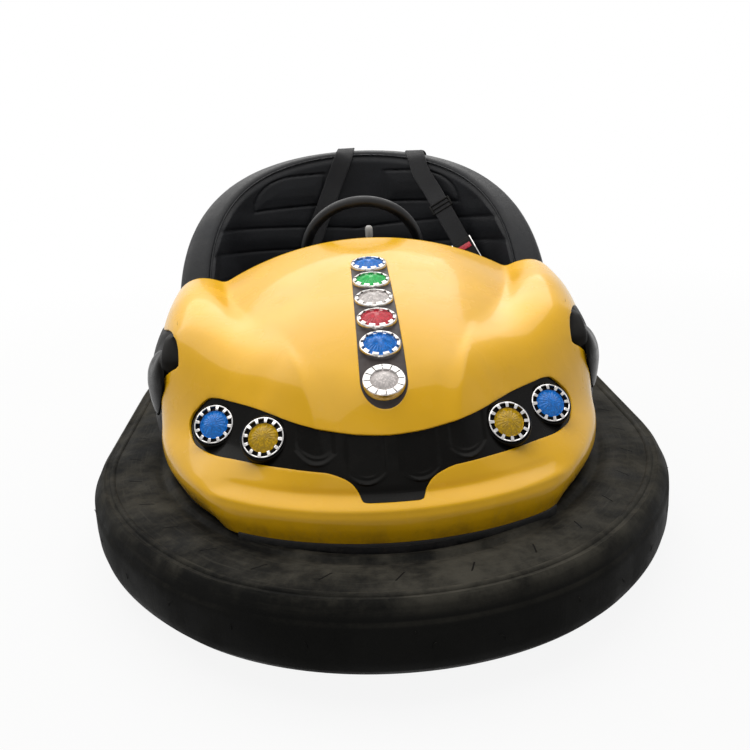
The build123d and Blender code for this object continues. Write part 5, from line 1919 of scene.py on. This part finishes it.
class CockpitOperator(bpy.types.Operator):
    """Dash board and bulkhead, ribbed floor mat, pedal rubber, column collar, lever and panel screws"""

    bl_idname = "bumper_car.cockpit"
    bl_label = "Cockpit"

    def execute(self, context):
        form = NoseForm(context.scene.car_shell.rounding)
        self.partition(form, "dash_board", -0.032, 0.188, "dash_panel", True)
        self.partition(form, "bulkhead_board", -0.228, 0.0725, "bulkhead", False)
        mat = [block("floor_mat", (0.62, 0.262, 0.0035), 0.0012, shift(0, -0.075, 0.0741))]
        for i in range(30):
            mat.append(block("rib", (0.6, 0.0036, 0.003), 0.0012, shift(0, -0.198 + i * 0.0085, 0.0768), 1))
        dress(join("floor_mat", mat), "wheel_rubber")

        slope = rotation(atan2(PEDAL_RISE, PEDAL_LEAN), "X")
        treads = []
        for share in (0.12 + i * 0.125 for i in range(7)):
            spot = shift(PEDAL_X, PEDAL_FOOT[0] + PEDAL_LEAN * share, PEDAL_FOOT[1] + PEDAL_RISE * share)
            treads.append(block("tread", (0.068, 0.0062, 0.0042), 0.0014, spot @ slope, 2))
        dress(join("pedal_treads", treads), "wheel_rubber")
        self.collar()
        self.lever()
        out = ((1, 0, 0), (0, 1, 0))
        places = [frame_at((side * x, -0.0241, z), *out) for side in (-1, 1) for x, z in DASH_SCREWS]
        dress(join("dash_screws", [bolt("screw", 0.004, 0.0035, place) for place in places]), "bare_steel")
        return {"FINISHED"}

    def collar(self):
        """Clamp and flange round the steering column."""
        clamp = mm((20.4, -12), (27.5, -12), (29, -10.5), (29, 10.5), (27.5, 12), (20.4, 12), (20.4, -12))
        flange = mm((20.5, 0), (50, 0), (52, 1.5), (52, 4.5), (28.5, 6.5), (20.5, 6.5), (20.5, 0))
        rings = [
            lathe("column_clamp", clamp, 48, matrix=wheel_frame(0.147)),
            lathe("column_flange", flange, 56, matrix=wheel_frame(0.163)),
        ]
        dress(join("column_collar", rings), "black_steel", smooth=40)

    def lever(self):
        """Ribbed boot and pale knob of the lever."""
        boot = mm(
            (8.2, 30), (10.2, 29), (11.2, 26.5), (10.2, 24.5), (12.5, 21), (11.5, 18.5), (14.5, 14.5),
            (13.5, 12), (17, 7.5), (18.5, 0), (8.2, 0), (8.2, 30),
        )
        knob = mm((0, 90.5), (4.5, 89.8), (7.8, 86.8), (8.8, 82), (8.8, 66), (8.1, 63.5), (0, 63.5))
        boot = lathe("lever_boot", boot, 36, matrix=shift(LEVER_X, LEVER_Y, LEVER_Z))
        dress(boot, "wheel_rubber", smooth=50)
        knob = lathe("lever_knob", knob, 32, matrix=shift(LEVER_X, LEVER_Y, LEVER_Z - 0.001))
        dress(knob, "chrome", smooth=50, skin="knob_pale")

    def partition(self, form, name, y, low, node, open_below):
        """Upright panel across the nose, fitted inside the shell, and open below where legs pass."""
        turns = np.radians(np.linspace(-22, 202, 201))
        origin = np.zeros((len(turns), 3)) + (0, y, NOSE_BASE)
        ray = np.stack([np.cos(turns), 0 * turns, np.sin(turns)], -1)
        rim = origin + ray * (form.reach(origin, ray) - 0.012)[:, None]
        rim = rim[rim[:, 2] > 0.2]
        side = min(abs(rim[0, 0]), abs(rim[-1, 0]), 0.421)
        rim = np.concatenate([[(side, y, low)], rim, [(-side, y, low)]])
        gap = [(0.02, low)]
        if open_below:
            half, top, corner = 0.33, 0.41, 0.04
            arc = [(1 - cos(a), 1 - sin(a)) for a in np.linspace(0, pi / 2, 10)]
            gap = [(half, low), (half, NOSE_BASE)] + [(half - corner * a, top - corner * b) for a, b in arc]
        gap = np.array(both_sides(gap))
        run, mark = run_length(gap), run_length(rim)
        inner = resample(gap, run, mark / mark[-1] * run[-1])
        inner = np.stack([inner[:, 0], y + 0 * mark, inner[:, 1]], -1)
        board = sheet_mesh(name, [rim + (inner - rim) * share for share in np.linspace(0, 1, 9)])
        thicken(face_towards(board, (0, -1, 0)), 0.008)
        dress(bevel(board, 0.0012, 2, 60), "satin_black", replaces=[node], smooth=30)


# ---- running gear

WHEEL_RADIUS, DRIVE_Y, REAR_AXLE_Y, REAR_TRACK = 0.1, -0.4, 0.5, 0.24


def road_tyre(name, width, matrix):
    """Solid rubber tyre with a worn block tread: its axis is X."""
    half, core, outer, steps = width / 2, 0.0765, WHEEL_RADIUS, 144
    block_depth, groove_depth = 0.0036, 0.0042
    section = [
        (core, -half + 0.001), (core, half - 0.001), (core + 0.004, half), (0.091, half),
        (0.0955, half - 0.0018), (0.0985, half - 0.0055), (0.0998, half - 0.0095),
    ]
    section += [(outer, half * share) for share in (0.62, 0.36, 0.3, 0.1, 0.04)]
    section += [(r, -x) for r, x in section[:1:-1]]
    rows = []
    for i in range(steps):
        a = tau * i / steps
        row = []
        for r, x in section:
            depth = 0.0
            if r > 0.0975:
                share = abs(x) / half
                groove = abs(share - 0.33) < 0.04 or share < 0.05
                lean = (i + (6 if x > 0 else 0) + int(round(share * 5))) % 12
                depth = groove_depth if groove else (block_depth if lean < 2 and share > 0.3 else 0.0)
            row.append((x, (r - depth) * cos(a), (r - depth) * sin(a)))
        rows.append(row)
    tyre = tube_mesh(name, rows, closed=True)
    tyre.data.transform(matrix)
    return tyre


class WheelsOperator(bpy.types.Operator):
    """Road wheels: treaded rubber tyres, and the nuts on the rear wheels"""

    bl_idname = "bumper_car.wheels"
    bl_label = "Road wheels"

    def execute(self, context):
        hub_face, nut_circle = 0.0165, 0.047
        front = road_tyre("drive_tyre_tread", 0.06, shift(0, DRIVE_Y, WHEEL_RADIUS))
        dress(front, "wheel_rubber", "drive_wheel", replaces=["drive_tyre"], smooth=30)
        for side, name in ((-1, "left"), (1, "right")):
            place = shift(side * REAR_TRACK, REAR_AXLE_Y, WHEEL_RADIUS)
            body = f"rear_wheel_{name}"
            tyre = road_tyre(f"rear_tread_{name}", 0.05, place)
            dress(tyre, "wheel_rubber", body, replaces=[f"rear_tyre_{name}"], smooth=30)
            for way in (-1, 1):
                face = place @ shift(way * hub_face, 0, 0) @ rotation(way * pi / 2, "Y")
                turns = [face @ rotation(tau * i / 5, "Z") for i in range(5)]
                nuts = [bolt("nut", 0.0052, 0.0048, turn @ shift(nut_circle, 0, 0.0003)) for turn in turns]
                where = "outer" if way == side else "inner"
                dress(join(f"rear_nuts_{name}_{where}", nuts), "bare_steel", body)
        return {"FINISHED"}


MOTOR_X, MOTOR_Z, GEARBOX_TOP = 0.046, 0.11, 0.3841


class DriveOperator(bpy.types.Operator):
    """Drive unit: motor fins, end cap and screws, gearbox cover and turntable bolts"""

    bl_idname = "bumper_car.drive"
    bl_label = "Drive unit"

    def execute(self, context):
        axis = shift(MOTOR_X, DRIVE_Y, MOTOR_Z) @ rotation(pi / 2, "Y")
        fin = ((52.1, 0), (53.5, 0.4), (53.5, 2.2), (52.1, 2.6), (52.1, 0))
        end_cap = ((52.2, 82), (54, 82.5), (54, 90.5), (52.2, 92.5), (52.2, 82))
        rings = [[(r, 12 + i * 7.2 + z) for r, z in fin] for i in range(9)] + [end_cap]
        fins = [lathe("fin", mm(*profile), 64, matrix=axis) for profile in rings]
        dress(join("motor_fins", fins), "cast_grey", "drive_unit", smooth=30)
        turns = [axis @ rotation(tau * (i + 0.5) / 4, "Z") for i in range(4)]
        ends = [bolt("screw", 0.0042, 0.0038, turn @ shift(0.041, 0, 0.0951)) for turn in turns]
        dress(join("motor_screws", ends), "bare_steel", "drive_unit")

        corners = ((-0.036, -0.044), (0.036, -0.044), (-0.036, 0.044), (0.036, 0.044))
        screws = [bolt("screw", 0.005, 0.0045, shift(x, DRIVE_Y + y, GEARBOX_TOP)) for x, y in corners]
        dress(join("gearbox_bolts", screws), "bare_steel")
        cover = block("gearbox_cover", (0.092, 0.1, 0.004), 0.0016, shift(0, DRIVE_Y, GEARBOX_TOP + 0.0021))
        dress(cover, "cast_grey")

        circle, bridge_top = 0.082, 0.2542
        turns = [tau * (i + 0.5) / 8 for i in range(8)]
        spots = [shift(circle * cos(a), DRIVE_Y + circle * sin(a), bridge_top) for a in turns]
        dress(join("bridge_bolts", [bolt("bolt", 0.006, 0.0052, spot) for spot in spots]), "bare_steel")
        return {"FINISHED"}


class PanOperator(bpy.types.Operator):
    """Bolt heads along the rim and pressed ribs on the underside of the pan"""

    bl_idname = "bumper_car.pan"
    bl_label = "Pan fixings"

    def execute(self, context):
        sizes = context.scene.car_ring
        plan = RingPlan(sizes)
        first, last, spacing, inset = 0.06, sizes.straight + 0.5 * sizes.side_radius + 0.75, 0.145, 0.205
        bolts = []
        for along in np.arange(first, last, spacing):
            x, y = plan.place(along, inset)
            for spot in ((-x, -y), (-x, y), (x, -y), (x, y)):
                bolts.append(bolt("bolt", 0.0065, 0.005, shift(*spot, 0.0659) @ rotation(pi, "X")))
        dress(join("pan_bolts", bolts), "bare_steel")
        places = [shift(x, 0.12, 0.0642) for x in (-0.16, -0.055, 0.055, 0.16)]
        ribs = [block("rib", (0.018, 0.34, 0.007), 0.0034, place) for place in places]
        dress(join("pan_ribs", ribs), "black_steel")
        return {"FINISHED"}


class FinishOperator(bpy.types.Operator):
    """Gives every kept solid of the frame the finish of its slot"""

    bl_idname = "bumper_car.finish"
    bl_label = "Finishes"

    def execute(self, context):
        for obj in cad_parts.values():
            for slot in obj.material_slots:
                slot.material = finish(slot.material.name.split(".")[0])
        return {"FINISHED"}


# ---- the stage

class StageOperator(bpy.types.Operator):
    """Pale floor, soft studio lights and the camera"""

    bl_idname = "bumper_car.stage"
    bl_label = "Studio"

    def execute(self, context):
        clear_selection()
        bpy.ops.mesh.primitive_plane_add(size=60, location=(0, 0, 0))
        floor = context.object
        floor.name = "studio_floor"
        pale = (0.62, 0.62, 0.62, 1)
        f = Finish("studio_floor", {"Base Color": pale, "Roughness": 0.9, "Specular IOR Level": 0.1})
        white = f.node("ShaderNodeEmission", None, {"Color": (1, 1, 1, 1), "Strength": 1.0})
        away = f.node("ShaderNodeVectorMath", {"operation": "LENGTH"}, {0: f.place()}, "Value")
        share = f.pale_rays() * f.between(away, *FLOOR_FADE, FLOOR_WHITE, 1.0)
        lit = Signal(f, f.shader.outputs[0])
        blend = f.node("ShaderNodeMixShader", None, {0: share, 1: lit, 2: white})
        f.feed(f.tree.nodes["Material Output"].inputs[0], blend)
        floor.data.materials.append(f.material)

        world = context.scene.world or bpy.data.worlds.new("studio")
        context.scene.world = world
        world.use_nodes = True
        world.node_tree.nodes.clear()
        w = Nodes(world.node_tree)
        light = w.node("ShaderNodeBackground", None, {0: (0.93, 0.96, 1.0, 1), 1: 0.22})
        backdrop = w.node("ShaderNodeBackground", None, {0: (1, 1, 1, 1), 1: 1.0})
        blend = w.node("ShaderNodeMixShader", None, {0: w.pale_rays(), 1: light, 2: backdrop})
        w.node("ShaderNodeOutputWorld", None, {0: blend})

        for name, place, aim, size, power, tint in STUDIO_LIGHTS:
            data = bpy.data.lights.new(name, "AREA")
            data.shape, data.size, data.size_y = "RECTANGLE", *size
            data.energy, data.color = power, tint
            lamp = new_object(name, data)
            lamp.location = place
            lamp.rotation_euler = (Vector(aim) - Vector(place)).to_track_quat("-Z", "Y").to_euler()
        add_camera(context)
        return {"FINISHED"}


PALE_RAYS = ("Is Camera Ray", "Is Glossy Ray", "Is Transmission Ray")
FLOOR_WHITE, FLOOR_FADE = 0.9, (1.3, 3.2)
STUDIO_LIGHTS = (
    # name, place, aimed at, size, power, colour
    ("overhead", (-0.4, 0.75, 3.3), (-0.02, -0.2, 0.45), (6.2, 6.0), 250, (1.0, 0.985, 0.955)),
    ("front_fill", (-0.8, -3.8, 3.1), (0, -0.3, 0.3), (3.4, 2.2), 12, (1.0, 0.98, 0.95)),
    ("right_side", (3.2, -0.8, 2.4), (0, 0, 0.4), (1.8, 1.8), 5, (0.97, 0.98, 1.0)),
)
CAMERA_PLACE = (-0.077, -2.288, 0.906)
CAMERA_YAW, CAMERA_PITCH, CAMERA_ROLL = radians(2.16), radians(16.0), radians(-2.99)


def add_camera(context):
    """Camera in front of the nose and a little above it."""
    data = bpy.data.cameras.new("camera")
    data.lens, data.sensor_width = 48.0, 36.0
    camera = new_object("camera", data)
    yaw, pitch, roll = CAMERA_YAW, CAMERA_PITCH, CAMERA_ROLL
    ahead = Vector((sin(yaw) * cos(pitch), cos(yaw) * cos(pitch), -sin(pitch)))
    level = Vector((cos(yaw), -sin(yaw), 0))
    over = level.cross(ahead)
    right = cos(roll) * level + sin(roll) * over
    up = -sin(roll) * level + cos(roll) * over
    camera.matrix_world = axes_at(CAMERA_PLACE, right, up, -ahead)
    context.scene.camera = camera


def view_settings(context):
    """Plain colour handling."""
    context.scene.view_settings.view_transform = "Standard"


# ---- add-on

OPERATORS = (
    StageOperator, RingOperator, NoseOperator, MaskOperator, StripOperator, LampsOperator, TrimOperator,
    TailOperator, SidesOperator, SeatOperator, CushionOperator, BeltsOperator, SteeringOperator,
    CockpitOperator, WheelsOperator, DriveOperator, PanOperator, FinishOperator,
)


class BumperCarPanel(bpy.types.Panel):
    """Lists the sizes, colours and steps of the bumper car"""

    bl_idname = "VIEW3D_PT_bumper_car"
    bl_label = "Bumper car"
    bl_space_type = "VIEW_3D"
    bl_region_type = "UI"
    bl_category = "Bumper car"

    def draw(self, context):
        for group in GROUPS:
            box = self.layout.box()
            for name in getattr(context.scene, group).__annotations__:
                box.prop(getattr(context.scene, group), name)
        for operator in OPERATORS:
            self.layout.operator(operator.bl_idname)


def register():
    for cls in (*GROUPS.values(), *OPERATORS, BumperCarPanel):
        bpy.utils.register_class(cls)
    for name, cls in GROUPS.items():
        setattr(bpy.types.Scene, name, bpy.props.PointerProperty(type=cls))


def unregister():
    for name in GROUPS:
        delattr(bpy.types.Scene, name)
    for cls in reversed((*GROUPS.values(), *OPERATORS, BumperCarPanel)):
        bpy.utils.unregister_class(cls)


def main():
    register()
    view_settings(bpy.context)
    for operator in OPERATORS:
        group, name = operator.bl_idname.split(".")
        getattr(getattr(bpy.ops, group), name)()


if __name__ == "__main__":
    main()
